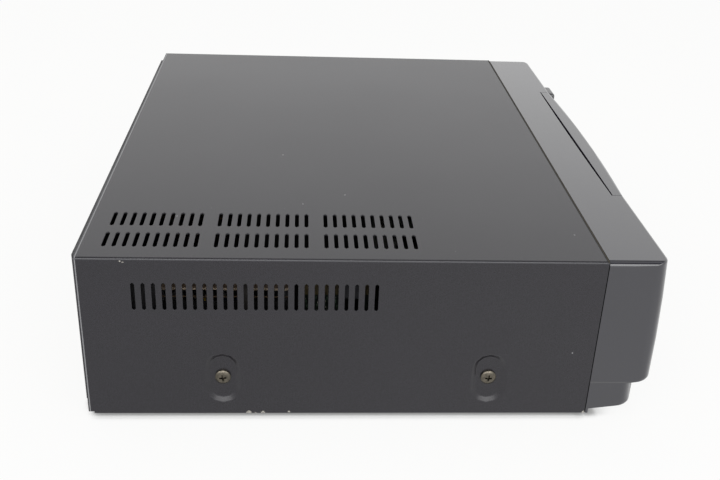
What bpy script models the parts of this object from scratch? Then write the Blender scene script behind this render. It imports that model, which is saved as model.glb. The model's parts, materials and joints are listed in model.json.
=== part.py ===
"""A front-loading recorder for half-inch video cassettes, as separate pieces.

Metres, +Z up. The front faces -Y, the user's right is +X, and the feet stand on Z = 0.
Y = 0 is half way between the eject button's face and the tips of the rear sockets.
"""

import math

import bmesh
import bpy
from mathutils import Matrix, Vector

# Driving dimensions
cover_width = 0.425
cover_depth = 0.315
cover_height = 0.110
foot_reach = 0.003
bezel_depth = 0.0403
eject_reach = 0.045
socket_reach = 0.014
cassette_width = 0.188
cassette_length = 0.103
cassette_thickness = 0.025
cassette_side_play = 0.0025
cassette_top_play = 0.0017

# Clearances
seat_gap = 0.0003
seam_gap = 0.0005
key_gap = 0.0003
running_gap = 0.0003
overrun = 0.002
weld_gap = 0.000002
turn_merge = 0.00002

# Sheet metal
cover_sheet = 0.001
bend_radius = 0.0015
chassis_sheet = 0.001
mechanism_sheet = 0.0012
bend_steps = 3
round_sides = 20
small_sides = 12
arc_steps = 3

# Frame of the whole recorder
half_width = cover_width / 2
total_depth = eject_reach + cover_depth + socket_reach
cover_front = eject_reach - total_depth / 2
cover_rear = cover_front + cover_depth
sill = foot_reach
cover_top = sill + cover_height

# Cooling slots of the cover
top_slot_length = 0.0192
top_slot_width = 0.0024
side_slot_length = 0.0186
slot_pitch = 0.006
slots_in_group = 10
slot_groups = 3
slot_group_pitch = 0.066
top_row_inset = 0.0243
top_row_pitch = 0.0285
top_slot_rear = 0.0146
side_slot_count = 25
side_slot_width = 0.0022
side_slot_rear = 0.0328
side_slot_drop = 0.0257
slot_end_steps = 2

# Screws and their pressed recesses
recess_width = 0.0236
recess_height = 0.038
recess_slope = 0.0047
recess_depth = 0.003
recess_centre_height = 0.0261
screw_height = 0.0261
rear_screw_inset = 0.0838
front_screw_inset = 0.0648
screw_head_radius = 0.0048
screw_head_height = 0.0026
screw_shank_radius = 0.0019
screw_length = 0.008
screw_crown = 0.0009
recess_end_steps = 6
recess_profile_shares = ((0.0, 0.0), (0.28, 0.12), (0.5, 0.5), (0.72, 0.88), (1.0, 1.0))
notch_length = 0.0035
notch_rise = 0.0013

# Bottom chassis
chassis_lift = 0.0006
flange_height = 0.048
chassis_front_gap = 0.001
post_radius = 0.003
post_sides = 8
board_post_inset = 0.010
vent_row_start = 0.030
board_height = 0.010
board_thickness = 0.0016
vent_row_count = 7
vent_row_pitch = 0.010
vent_slot_length = 0.030
vent_slot_width = 0.003

# Feet
foot_radius = 0.010
foot_taper = 0.0015
foot_inset_x = 0.045
foot_inset_front = 0.030
foot_inset_rear = 0.028

# Bezel
bezel_wall = 0.0025
bezel_edge_radius = 0.0015
bezel_end_radius = 0.0085
bezel_end_edge = 0.003
bezel_end_steps = 5
step_height_share = 0.2195
step_radius = 0.003
step_back = 0.010
lower_corner_radius = 0.0028
lower_edge_height = 0.0058
lower_rear_height = 0.0033
lip_thickness = 0.0016
bezel_bow_shares = ((0.934, 0.997), (0.974, 0.764), (0.9985, 0.500), (1.0, 0.286))
hook_width = 0.002
hook_length = 0.010
hook_height = 0.030
peg_radius = 0.003
peg_inset = 0.012
peg_low_share = 0.541
peg_high_share = 0.812

# Cassette door
door_margin = 0.019
door_gap = 0.0004
door_lip = 0.0099
door_wall = 0.0025
door_overlap = 0.0017
door_bow = 0.0032
door_sections = 9
door_edge_radius = 0.0015
hinge_back = 0.0089
hinge_drop = 0.0052
hinge_pin_radius = 0.0012
hinge_pin_length = 0.0022
hinge_boss_radius = 0.0020
hinge_ear = 0.0022
cheek = 0.0025
cheek_length = 0.0343
cheek_drop = 0.0065
sill_plate = 0.0025
door_under_gap = 0.0018

# Display window, tube and front board
window_side_room = 0.1375
window_height_share = 0.30
window_centre_share = 0.692
window_rim = 0.002
tube_inset = 0.015
tube_height_share = 0.21
front_board_back = 0.0258
front_board_low = 0.012
front_board_high_share = 0.902
front_board_inset = 0.008

# Buttons
button_proud = 0.001
button_travel = 0.001
button_width = 0.026
button_height_share = 0.12
button_cap = 0.004
button_rounding = 0.0008
button_stem_radius = 0.0025
button_column_pitch = 0.035
button_row_pitch_share = 0.18
button_low_row_share = 0.632
transport_inset = 0.0325
channel_inset = 0.0625
power_margin = 0.025
power_drop = 0.014
power_button_height = 0.012
eject_margin = 0.005
eject_width = 0.022
eject_bottom_drop = 0.022
eject_top_drop = 0.0033
eject_cap = 0.011
eject_rounding = 0.0025

# Rear panel
rear_plate = 0.003
rear_plate_inset = 0.0115
rear_plate_low = 0.003
rear_plate_drop = 0.004
rear_rim_wall = 0.002
rear_rim_length = 0.0075
rear_joint_share = 0.25

# Sockets
jack_radius = 0.0042
jack_bore_radius = 0.0016
jack_bore_depth = 0.009
jack_pitch_x = 0.018
jack_pitch_z = 0.018
jack_columns = 3
jack_rows = 2
jack_margin_left = 0.057
jack_low = 0.023
jack_block_depth = 0.014
jack_margin = 0.009
aerial_radius = 0.0047
aerial_core_radius = 0.0035
aerial_recess = 0.0012
aerial_height = 0.036
aerial_first_inset = 0.014
aerial_pitch = 0.030
tuner_inset = 0.017
tuner_width = 0.060
tuner_length = 0.055
tuner_height = 0.040
tuner_back_gap = 0.0025
switch_width = 0.0045
switch_height = 0.0032
switch_travel = 0.003
switch_inset = 0.029
switch_level = 0.022
switch_reach = 0.0025
switch_flange = 0.0018
inlet_inset = 0.015
inlet_width = 0.024
inlet_height = 0.016
inlet_depth = 0.018
inlet_proud = 0.0004
inlet_cavity_width = 0.0135
inlet_cavity_height = 0.0076
inlet_cavity_depth = 0.012
inlet_pin_radius = 0.0012
inlet_pin_pitch = 0.0086
inlet_pin_length = 0.009

# Boards and the power supply
board_side_inset = 0.0075
main_board_gap = 0.004
main_board_tongue = 0.021
main_board_front_inset = 0.0175
main_board_arm = 0.2235
board_rear_inset = 0.0085
power_board_gap = 0.007
power_board_front = 0.1275
transformer_width = 0.050
transformer_length = 0.046
transformer_height = 0.044
transformer_inset = 0.013
transformer_rear_inset = 0.026
winding_margin = 0.008
winding_height = 0.006
sink_inset = 0.025
sink_depth = 0.020
sink_length = 0.064
sink_height = 0.060
sink_base = 0.003
sink_fin = 0.002
sink_fins = 6
sink_front = 0.150
capacitor_radius = 0.0125
capacitor_height = 0.040
capacitor_front = 0.2285
small_capacitor_radius = 0.009
small_capacitor_height = 0.032
small_capacitor_front = 0.139

# Deck
deck_clearance = 0.0028
deck_thickness = 0.0015
deck_edge = 0.0011
deck_front_inset = 0.0075
deck_length = 0.208
deck_corner = 0.006
deck_post_inset = 0.007
reel_pitch = 0.092
reel_radius = 0.020
reel_flange = 0.004
reel_hub_radius = 0.008
reel_hub_height = 0.0045
reel_spindle_radius = 0.0035
reel_spindle_height = 0.010
reel_spline_reach = 0.0052
reel_splines = 6

# Drum
drum_inset = 0.1715
drum_radius = 0.031
drum_sides = 32
drum_tilt = math.radians(5.9)
drum_plinth = 0.0055
lower_drum_height = 0.017
upper_drum_height = 0.016
drum_cap_radius = 0.022
drum_cap_height = 0.003
drum_groove = 0.0006
head_window = 0.004
head_window_depth = 0.0012

# Capstan and pinch roller
capstan_x = 0.062
capstan_inset = 0.1335
capstan_radius = 0.002
capstan_reach = 0.022
flywheel_radius = 0.034
flywheel_thickness_share = 0.19
flywheel_level_share = 0.571
capstan_motor_radius = 0.030
capstan_motor_share = 0.49
pinch_radius = 0.007
pinch_height = 0.012
pinch_bore = 0.0016
pinch_arm_x = 0.022
pinch_arm_y = 0.026
pinch_arm_length = 0.0249
pinch_arm_thickness = 0.0018
pinch_arm_level = 0.006
pinch_contact_angle = math.radians(228.4)
pinch_swing = math.radians(25.0)
pinch_boss_radius = 0.005

# Tape guides in their curved tracks
guide_start_x = 0.030
guide_start_inset = 0.1175
track_centre_x = 0.032
track_centre_inset = 0.168
track_radius = 0.080
track_swing = math.radians(45.2)
track_width = 0.005
guide_base_radius = 0.0065
guide_base_height = 0.004
guide_neck_radius = 0.0022
guide_foot_radius = 0.0045
guide_foot_height = 0.002
guide_post_radius = 0.003
guide_flange_radius = 0.0042
guide_flange_height = 0.0012
guide_height = 0.0215
track_steps = 8

# Heads
head_width = 0.010
head_depth = 0.008
head_height = 0.020
audio_head_x = 0.064
audio_head_inset = 0.1695
erase_head_x = -0.062
erase_head_inset = 0.1405
head_face_radius = 0.006

# Cassette carriage
holder_sheet = 0.001
holder_lip = 0.010
holder_rear_inset = 0.0485
holder_wall_length = 0.036
holder_floor_reach = 0.025
holder_floor_strip = 0.012
holder_bar = 0.014
holder_stop_width = 0.011
holder_pin_rise = 0.0112
holder_pin_radius = 0.0015
pin_sides = 8
holder_pin_front = 0.029
holder_pin_rear = 0.007
holder_drop = 0.020
carriage_travel = 0.079
carriage_side_gap = 0.0037
carriage_skirt = 0.0148
carriage_top_gap = 0.0049
carriage_strip = 0.009
carriage_pin_drop = 0.0104
carriage_pin_front = 0.031
carriage_pin_rear = 0.005
bracket_gap = 0.002
bracket_front_inset = 0.011
bracket_length = 0.123
bracket_drop = 0.010
bracket_rise = 0.0016
bracket_foot = 0.0125
bridge_length = 0.025
bridge_inset = 0.0825
bracket_window_low = 0.013
bracket_window_height = 0.023
bracket_window_inset = 0.018

# Loading drive
gear_module = 0.001
pressure_angle = math.radians(20.0)
tooth_tip_share = 0.9
tooth_root_share = 1.2
cam_gear_teeth = 28
pinion_teeth = 12
gear_backlash = 0.0002
gear_mesh_gap = 0.0001
gear_thickness_share = 0.119
cam_gear_x = -0.062
cam_gear_inset = 0.100
cam_gear_drop_share = 0.143
cam_stud_radius = 0.003
gear_direction = math.radians(35.0)
motor_radius = 0.012
motor_top_gap = 0.0016
motor_boss_radius = 0.004
motor_boss_height = 0.001
pinion_hub_radius = 0.0035
pinion_extra = 0.001

# Derived places
bezel_rear = cover_front - seam_gap
bezel_front = cover_front - bezel_depth
floor_low = sill + chassis_lift
floor_top = floor_low + chassis_sheet
step_height = cover_height * step_height_share
board_low = sill + board_height
board_top = board_low + board_thickness
recess_floor = half_width - recess_depth
flange_face = recess_floor - cover_sheet - seat_gap
flange_inner = flange_face - chassis_sheet
chassis_front = cover_front + chassis_front_gap
chassis_rear = cover_rear - seat_gap
plate_front = cover_rear + seat_gap
plate_rear = plate_front + rear_plate
socket_tip = cover_rear + socket_reach
rear_plate_half = half_width - rear_plate_inset
hinge_y = bezel_front + hinge_back
hinge_z = cover_top - hinge_drop

# Cassette carriage and deck, from the cover's top down and from the cassette's sides out
bracket_top = cover_height - bracket_drop
carriage_high = bracket_top - bracket_rise
carriage_pin_level = carriage_high - carriage_pin_drop
holder_wall_top = carriage_high - carriage_top_gap
holder_floor = holder_wall_top - cassette_thickness - cassette_top_play - 2 * holder_sheet
holder_pin_level = holder_floor + holder_pin_rise
carriage_low = holder_floor - carriage_skirt
deck_level = holder_floor - holder_drop - deck_clearance
deck_top = sill + deck_level
deck_low = deck_top - deck_thickness
deck_front = cover_front + deck_front_inset
holder_half_width = cassette_width / 2 + cassette_side_play + holder_sheet
carriage_half_width = holder_half_width + carriage_side_gap
bracket_inner = carriage_half_width + bracket_gap
bracket_outer = bracket_inner + mechanism_sheet
deck_half_width = bracket_outer + bracket_foot + deck_edge
holder_rear = cover_front + holder_rear_inset
reel_y = holder_rear - holder_sheet + carriage_travel - cassette_length / 2
flywheel_level = deck_level * flywheel_level_share
flywheel_thickness = deck_level * flywheel_thickness_share
capstan_motor_height = deck_level * capstan_motor_share
gear_thickness = deck_level * gear_thickness_share
cam_gear_drop = deck_level * cam_gear_drop_share

# Front layout, below the door and beside it
door_width = cassette_width + 2 * door_margin
door_bottom = holder_floor + door_overlap
window_width = 2 * (half_width - window_side_room)
window_height = door_bottom * window_height_share
window_centre_height = door_bottom * window_centre_share
tube_width = window_width - 2 * tube_inset
tube_height = door_bottom * tube_height_share
front_board_high = door_bottom * front_board_high_share
button_height = door_bottom * button_height_share
button_row_pitch = door_bottom * button_row_pitch_share
button_low_row_height = door_bottom * button_low_row_share
transport_right = half_width - transport_inset
channel_left = half_width - channel_inset
power_left = door_width / 2 + power_margin
eject_left = door_width / 2 + eject_margin

# Boards beside the deck, and the sockets on them
main_board_right = half_width - board_side_inset
main_board_side = deck_half_width + main_board_gap
power_board_left = -main_board_right
power_board_right = -deck_half_width - power_board_gap
tuner_right = main_board_right - tuner_inset
tuner_left = tuner_right - tuner_width
jack_left = tuner_left - jack_margin_left
main_board_left = jack_left - main_board_tongue
aerial_first = tuner_left + aerial_first_inset
switch_centre = tuner_left + switch_inset
inlet_left = power_board_left + inlet_inset
transformer_left = power_board_left + transformer_inset
sink_left = power_board_right - sink_inset
capacitor_x = (power_board_left + power_board_right) / 2
carriage_rear = holder_rear
drum_y = cover_front + drum_inset

# Finishes: colour, roughness, metallic
black_paint = ((0.045, 0.045, 0.048), 0.55, 0.0)
black_gloss = ((0.035, 0.036, 0.038), 0.25, 0.0)
black_moulding = ((0.040, 0.040, 0.042), 0.45, 0.0)
smoked_window = ((0.015, 0.015, 0.018), 0.08, 0.0)
zinc = ((0.62, 0.62, 0.60), 0.38, 0.9)
screw_bronze = ((0.36, 0.33, 0.28), 0.40, 0.9)
foot_rubber = ((0.05, 0.05, 0.05), 0.85, 0.0)
board_brown = ((0.34, 0.20, 0.09), 0.55, 0.0)
tube_glass = ((0.10, 0.14, 0.14), 0.12, 0.0)
aluminium = ((0.72, 0.72, 0.73), 0.35, 0.95)
copper_yellow = ((0.62, 0.40, 0.10), 0.50, 0.1)
sleeve_black = ((0.05, 0.06, 0.09), 0.35, 0.0)
white_moulding = ((0.80, 0.80, 0.77), 0.45, 0.0)
roller_rubber = ((0.06, 0.055, 0.05), 0.75, 0.0)


def new_collection(name):
    collection = bpy.data.collections.new(name)
    bpy.context.scene.collection.children.link(collection)
    return collection


def clear_scene():
    for old in list(bpy.data.objects):
        bpy.data.objects.remove(old, do_unlink=True)


clear_scene()
parts = new_collection("video_cassette_recorder")
cutters = new_collection("cutters")


def shape_from(bm):
    """A new helper shape in the cutters' collection, hidden from the render."""
    bmesh.ops.remove_doubles(bm, verts=bm.verts, dist=weld_gap)
    bmesh.ops.recalc_face_normals(bm, faces=bm.faces)
    mesh = bpy.data.meshes.new("shape")
    bm.to_mesh(mesh)
    bm.free()
    shape = bpy.data.objects.new("shape", mesh)
    cutters.objects.link(shape)
    shape.hide_render = True
    shape.display_type = "WIRE"
    return shape


def block(low, high):
    low, high = Vector(low), Vector(high)
    bm = bmesh.new()
    place = Matrix.Translation((low + high) / 2)
    bmesh.ops.create_cube(bm, size=1.0, matrix=place @ Matrix.Diagonal((*(high - low), 1.0)))
    return shape_from(bm)


def rod(start, end, radius, sides=small_sides):
    start, end = Vector(start), Vector(end)
    span = end - start
    turn = span.to_track_quat("Z", "Y").to_matrix().to_4x4()
    bm = bmesh.new()
    bmesh.ops.create_cone(
        bm, cap_ends=True, segments=sides, radius1=radius, radius2=radius,
        depth=span.length, matrix=Matrix.Translation((start + end) / 2) @ turn)
    return shape_from(bm)


AXIS_TURNS = {
    "Z": Matrix(((1, 0, 0), (0, 1, 0), (0, 0, 1))).to_4x4(),
    "Y": Matrix(((1, 0, 0), (0, 0, -1), (0, 1, 0))).to_4x4(),
    "X": Matrix(((0, 0, 1), (1, 0, 0), (0, 1, 0))).to_4x4(),
}
AXIS_SIGNS = {"Z": 1, "Y": -1, "X": 1}


def prism(loops, axis, low, high):
    """Flat outlines, with any holes as further loops, extruded from low to high along an axis."""
    curve = bpy.data.curves.new("outline", "CURVE")
    curve.dimensions = "2D"
    curve.fill_mode = "BOTH"
    curve.extrude = abs(high - low) / 2
    for loop in loops:
        spline = curve.splines.new("POLY")
        spline.points.add(len(loop) - 1)
        for point, (first, second) in zip(spline.points, loop):
            point.co = (first, second, 0, 1)
        spline.use_cyclic_u = True
    guide = bpy.data.objects.new("outline", curve)
    cutters.objects.link(guide)
    graph = bpy.context.evaluated_depsgraph_get()
    mesh = bpy.data.meshes.new_from_object(guide.evaluated_get(graph))
    bm = bmesh.new()
    bm.from_mesh(mesh)
    lift = Matrix.Translation((0, 0, AXIS_SIGNS[axis] * (low + high) / 2))
    bm.transform(AXIS_TURNS[axis] @ lift)
    bpy.data.objects.remove(guide)
    bpy.data.curves.remove(curve)
    bpy.data.meshes.remove(mesh)
    return shape_from(bm)


def loft(rings):
    """A closed solid through rings that have the same number of points."""
    bm = bmesh.new()
    made = [[bm.verts.new(point) for point in ring] for ring in rings]
    for ring, following in zip(made, made[1:]):
        for i in range(len(ring)):
            j = (i + 1) % len(ring)
            bm.faces.new((ring[i], ring[j], following[j], following[i]))
    bm.faces.new(list(reversed(made[0])))
    bm.faces.new(made[-1])
    return shape_from(bm)


def gather(shapes):
    """Several shapes that don't touch, as one helper."""
    bm = bmesh.new()
    for shape in shapes:
        bm.from_mesh(shape.data)
        bpy.data.objects.remove(shape)
    return shape_from(bm)


def part(name, shape, finish):
    """Turns a helper shape into a named piece with its own material."""
    colour, roughness, metallic = finish
    shape.name = name
    shape.data.name = name
    cutters.objects.unlink(shape)
    parts.objects.link(shape)
    shape.hide_render = False
    shape.display_type = "TEXTURED"
    material = bpy.data.materials.new(name + "_finish")
    material.use_nodes = True
    surface = material.node_tree.nodes["Principled BSDF"]
    surface.inputs["Base Color"].default_value = (*colour, 1.0)
    surface.inputs["Roughness"].default_value = roughness
    surface.inputs["Metallic"].default_value = metallic
    shape.data.materials.append(material)
    return shape


def turned_part(name, profile, place, finish, sides=round_sides, tilt=0.0):
    """A turned piece: its profile runs from the axis down the outer side and back to it."""
    bm = bmesh.new()
    verts = [bm.verts.new((radius, 0, height)) for radius, height in profile]
    for first, second in zip(verts, verts[1:]):
        bm.edges.new((first, second))
    mesh = bpy.data.meshes.new(name)
    bm.to_mesh(mesh)
    bm.free()
    piece = bpy.data.objects.new(name, mesh)
    cutters.objects.link(piece)
    part(name, piece, finish)
    screw = piece.modifiers.new("turn", "SCREW")
    screw.steps = sides
    screw.render_steps = sides
    screw.use_merge_vertices = True
    screw.merge_threshold = turn_merge
    screw.use_smooth_shade = True
    piece.location = place
    piece.rotation_euler = (tilt, 0, 0)
    return piece


def change(piece, operation, shapes):
    for shape in shapes:
        boolean = piece.modifiers.new(operation.lower(), "BOOLEAN")
        boolean.operation = operation
        boolean.solver = "EXACT"
        boolean.object = shape
    return piece


def cut(piece, *shapes):
    return change(piece, "DIFFERENCE", shapes)


def fuse(piece, *shapes):
    return change(piece, "UNION", shapes)


def set_axis(piece, place):
    """Moves the piece's origin to a point of its joint, with the shape where it was."""
    shift = Vector(place) - piece.location
    piece.data.transform(Matrix.Translation(-shift))
    piece.location = place
    return piece


def soften(piece, width, steps=2):
    bevel = piece.modifiers.new("edges", "BEVEL")
    bevel.width = width
    bevel.segments = steps
    bevel.limit_method = "ANGLE"
    return piece


def arc(centre, radius, start, sweep, steps):
    """Points along an arc, both ends included."""
    points = []
    for i in range(steps + 1):
        angle = start + sweep * i / steps
        points.append((centre[0] + radius * math.cos(angle), centre[1] + radius * math.sin(angle)))
    return points


def stadium(centre, length, width, along_second, steps):
    """A slot outline with round ends, long in the first or the second direction."""
    reach = (length - width) / 2
    points = []
    for side in (1, -1):
        turn = 0 if side == 1 else math.pi
        for a, b in arc((side * reach, 0), width / 2, turn - math.pi / 2, math.pi, steps):
            points.append((centre[0] - b, centre[1] + a) if along_second
                          else (centre[0] + a, centre[1] + b))
    return points


def rounded(corners, steps=arc_steps):
    """An outline whose corners (first, second, radius) are turned into arcs."""
    points = []
    count = len(corners)
    for i, (a, b, radius) in enumerate(corners):
        here = Vector((a, b))
        before = (Vector(corners[i - 1][:2]) - here).normalized()
        after = (Vector(corners[(i + 1) % count][:2]) - here).normalized()
        if radius <= 0:
            points.append((a, b))
            continue
        half = before.angle(after) / 2
        middle = here + (before + after).normalized() * radius / math.sin(half)
        first = here + before * radius / math.tan(half) - middle
        last = here + after * radius / math.tan(half) - middle
        start = math.atan2(first.y, first.x)
        sweep = math.atan2(first.x * last.y - first.y * last.x, first.dot(last))
        points.extend(arc(middle, radius, start, sweep, steps))
    return points


def ring(centre, radius, sides=small_sides):
    return arc(centre, radius, 0, 2 * math.pi * (sides - 1) / sides, sides - 1)


def bent_sheet(path, rear, front, sheet, inward):
    """An open path in X and Z, run along Y, and thickened to one side."""
    bm = bmesh.new()
    verts = [bm.verts.new((x, front, z)) for x, z in path]
    edges = [bm.edges.new(pair) for pair in zip(verts, verts[1:])]
    made = bmesh.ops.extrude_edge_only(bm, edges=edges)
    moved = [item for item in made["geom"] if isinstance(item, bmesh.types.BMVert)]
    bmesh.ops.translate(bm, verts=moved, vec=(0, rear - front, 0))
    shape = shape_from(bm)
    solidify = shape.modifiers.new("sheet", "SOLIDIFY")
    solidify.thickness = sheet
    solidify.offset = -1 if inward else 1
    solidify.use_even_offset = True
    return shape


def solid_copy(shape):
    """The shape with its modifiers made into plain faces."""
    graph = bpy.context.evaluated_depsgraph_get()
    mesh = bpy.data.meshes.new_from_object(shape.evaluated_get(graph))
    bm = bmesh.new()
    bm.from_mesh(mesh)
    bpy.data.meshes.remove(mesh)
    bpy.data.objects.remove(shape)
    return shape_from(bm)


def channel_path(half, low, high, radius, lip=0):
    """A U path, open below, with bent corners: up the left side, over, and down the right."""
    corners = [(-half, low, 0), (-half, high, radius), (half, high, radius), (half, low, 0)]
    if lip:
        corners = [(-half + lip, low, 0)] + corners + [(half - lip, low, 0)]
    return rounded(corners, bend_steps)


# Top cover
def top_slot_loops():
    loops = []
    for row in range(2):
        x = -half_width + top_row_inset + row * top_row_pitch
        for group in range(slot_groups):
            for i in range(slots_in_group):
                y = cover_rear - top_slot_rear - group * slot_group_pitch - i * slot_pitch
                loops.append(stadium((x, y), top_slot_length, top_slot_width, False, slot_end_steps))
    return loops


def side_slot_loops():
    z = cover_top - side_slot_drop
    return [stadium((cover_rear - side_slot_rear - i * slot_pitch, z), side_slot_length,
                    side_slot_width, True, slot_end_steps) for i in range(side_slot_count)]


def screw_places():
    for end, inset in (("front", front_screw_inset), ("rear", cover_depth - rear_screw_inset)):
        for side_name, side in (("left", -1), ("right", 1)):
            yield side_name + "_" + end, side, cover_front + inset


def recess_ring(x, y, shrink):
    """The recess outline in the plane at x, smaller by shrink all round."""
    centre = (y, sill + recess_centre_height)
    outline = stadium(centre, recess_height - 2 * shrink, recess_width - 2 * shrink,
                      True, recess_end_steps)
    return [(x, a, b) for a, b in outline]


def recess_shapes(side, y):
    """The pressed dish, the hollow outside it and the screw's hole."""
    dish, hollow = [], [recess_ring(side * (half_width + overrun), y, 0)]
    for slope, depth in recess_profile_shares:
        shrink, x = slope * recess_slope, half_width - depth * recess_depth
        hollow.append(recess_ring(side * x, y, shrink))
        dish.append(recess_ring(side * (x - cover_sheet), y, shrink - cover_sheet / 2))
    dish[0] = recess_ring(side * (half_width - cover_sheet / 2), y, -cover_sheet / 2)
    hole = rod((side * (recess_floor + overrun), y, sill + screw_height),
               (side * (flange_inner - overrun), y, sill + screw_height),
               screw_shank_radius + running_gap)
    return loft(dish), loft(hollow), hole


def make_cover():
    path = channel_path(half_width, sill, cover_top, bend_radius)
    cover = part("top_cover", bent_sheet(path, cover_rear, cover_front, cover_sheet, True),
                 black_paint)
    shapes = [recess_shapes(side, y) for _, side, y in screw_places()]
    fuse(cover, gather([dish for dish, _, _ in shapes]))
    cut(cover, gather([hollow for _, hollow, _ in shapes]), gather([hole for *_, hole in shapes]))
    cut(cover, prism(top_slot_loops(), "Z", cover_top - cover_sheet - overrun, cover_top + overrun))
    cut(cover, prism(side_slot_loops(), "X", -half_width - overrun,
                     -half_width + cover_sheet + overrun))
    cut(cover, gather([block((side * half_width - overrun, cover_rear - notch_length, 0),
                             (side * half_width + overrun, cover_rear + overrun, sill + notch_rise))
                       for side in (-1, 1)]))
    return cover


def make_side_screws():
    top = screw_head_height
    profile = [(0, top), (screw_head_radius / 2, top - screw_crown / 4),
               (screw_head_radius, top - screw_crown), (screw_head_radius, seat_gap),
               (screw_shank_radius, seat_gap), (screw_shank_radius, -screw_length),
               (0, -screw_length)]
    for place, side, y in screw_places():
        centre = (side * recess_floor, y, sill + screw_height)
        screw = turned_part("side_screw_" + place, profile, centre, screw_bronze, small_sides)
        screw.rotation_euler = (0, side * math.pi / 2, 0)


# Bottom chassis and feet
def board_posts():
    """Posts under the two boards, and the taller ones under the deck."""
    inset = board_post_inset
    rear = cover_rear - board_rear_inset - inset
    main_front = cover_front + main_board_front_inset + inset
    power_front = cover_front + power_board_front + inset
    places = [(main_board_right - inset, main_front), (main_board_side + inset, main_front),
              (main_board_right - inset, rear), (main_board_left + inset, rear),
              (power_board_left + inset, rear), (power_board_right - inset, rear),
              (power_board_left + inset, power_front), (power_board_right - inset, power_front)]
    base = floor_top - chassis_sheet / 2
    posts = [rod((x, y, base), (x, y, board_low - seat_gap), post_radius, post_sides)
             for x, y in places]
    deck_rear = deck_front + deck_length
    for x in (-deck_half_width + deck_post_inset, deck_half_width - deck_post_inset):
        for y in (deck_front + deck_post_inset, deck_rear - deck_post_inset):
            posts.append(rod((x, y, base), (x, y, deck_low - seat_gap), post_radius, post_sides))
    return gather(posts)


def make_chassis():
    half = flange_face
    low = floor_low
    corners = [(-half, sill + flange_height, 0), (-half, low, bend_radius),
               (half, low, bend_radius), (half, sill + flange_height, 0)]
    path = rounded(corners, bend_steps)
    shape = bent_sheet(path, chassis_rear, chassis_front, chassis_sheet, True)
    chassis = part("bottom_chassis", solid_copy(shape), zinc)
    fuse(chassis, board_posts())
    holes = [rod((side * (flange_face + overrun), y, sill + screw_height),
                 (side * (flange_inner - overrun), y, sill + screw_height),
                 screw_shank_radius + running_gap) for _, side, y in screw_places()]
    cut(chassis, gather(holes))
    centre_x = (power_board_left + power_board_right) / 2
    start_y = cover_front + power_board_front + vent_row_start
    slots = [stadium((centre_x, start_y + i * vent_row_pitch), vent_slot_length, vent_slot_width,
                     False, slot_end_steps) for i in range(vent_row_count)]
    cut(chassis, prism(slots, "Z", floor_low - overrun, floor_top + overrun))
    return chassis


def make_feet():
    top = floor_low - seat_gap
    profile = [(0, top), (foot_radius, top), (foot_radius, foot_taper),
               (foot_radius - foot_taper, 0), (0, 0)]
    x = half_width - foot_inset_x
    for end, y in (("front", cover_front + foot_inset_front), ("rear", cover_rear - foot_inset_rear)):
        for side_name, side in (("left", -1), ("right", 1)):
            turned_part("foot_" + side_name + "_" + end, profile, (side * x, y, 0), foot_rubber)


# Front bezel
def bezel_profile(inset, rear, back, drop):
    """The bezel's side outline in Y and Z, drawn in by inset; its lower part stands back.
    Near an end the front is drawn back further and the top is lowered."""
    top = max(share for _, share in bezel_bow_shares)
    bow = [(cover_front - bezel_depth * reach + inset + back, sill + cover_height * height)
           for reach, height in bezel_bow_shares]
    low_front = bezel_front + step_back + inset + back
    corners = [(rear, sill + cover_height * top - inset - drop, 0),
               (bow[0][0], bow[0][1] - inset - drop, max(bezel_edge_radius - inset, 0)),
               (bow[1][0], bow[1][1], 0), (bow[2][0], bow[2][1], 0), (bow[3][0], bow[3][1], 0),
               (bow[3][0], sill + step_height + inset, max(step_radius - inset, 0)),
               (low_front, sill + step_height - step_radius / 2 + inset, 0),
               (low_front, sill + lower_edge_height + inset, max(lower_corner_radius - inset, 0)),
               (bezel_rear - lip_thickness + (rear - bezel_rear), sill + lower_rear_height + inset, 0)]
    if inset:
        corners.append((rear, sill + lower_rear_height + inset, 0))
    else:
        corners.extend([(bezel_rear - lip_thickness, sill, 0), (rear, sill, 0)])
    return rounded(corners)


def bezel_front_at(height):
    """Y of the bezel's upper front face at a height above the cover's lower edge."""
    table = [(share_z * cover_height, cover_front - share_y * bezel_depth)
             for share_y, share_z in reversed(bezel_bow_shares)]
    if height <= table[0][0]:
        return table[0][1]
    for (low, y_low), (high, y_high) in zip(table, table[1:]):
        if height <= high:
            return y_low + (y_high - y_low) * (height - low) / (high - low)
    return table[-1][1]


def curved_in(distance, radius):
    """How far a rounded edge has curved in, at a distance from its outermost line."""
    short = max(radius - distance, 0)
    return radius - math.sqrt(radius * radius - short * short)


def bezel_solid(inset, rear):
    """The bezel's outer form, or its hollow when drawn in by inset, with rounded ends."""
    radius, edge = bezel_end_radius - inset, max(bezel_end_edge - inset, 0)
    steps = bezel_end_steps if inset == 0 else 2
    tip = half_width - inset
    places = []
    for i in range(steps + 1):
        distance = radius * (1 - math.cos(math.pi / 2 * i / steps))
        places.append((tip - distance, curved_in(distance, radius), curved_in(distance, edge)))
    mirrored = [(-x, back, drop) for x, back, drop in places]
    rings = [[(x, y, z) for y, z in bezel_profile(inset, rear, back, drop)]
             for x, back, drop in mirrored + places[::-1]]
    return loft(rings)


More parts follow.
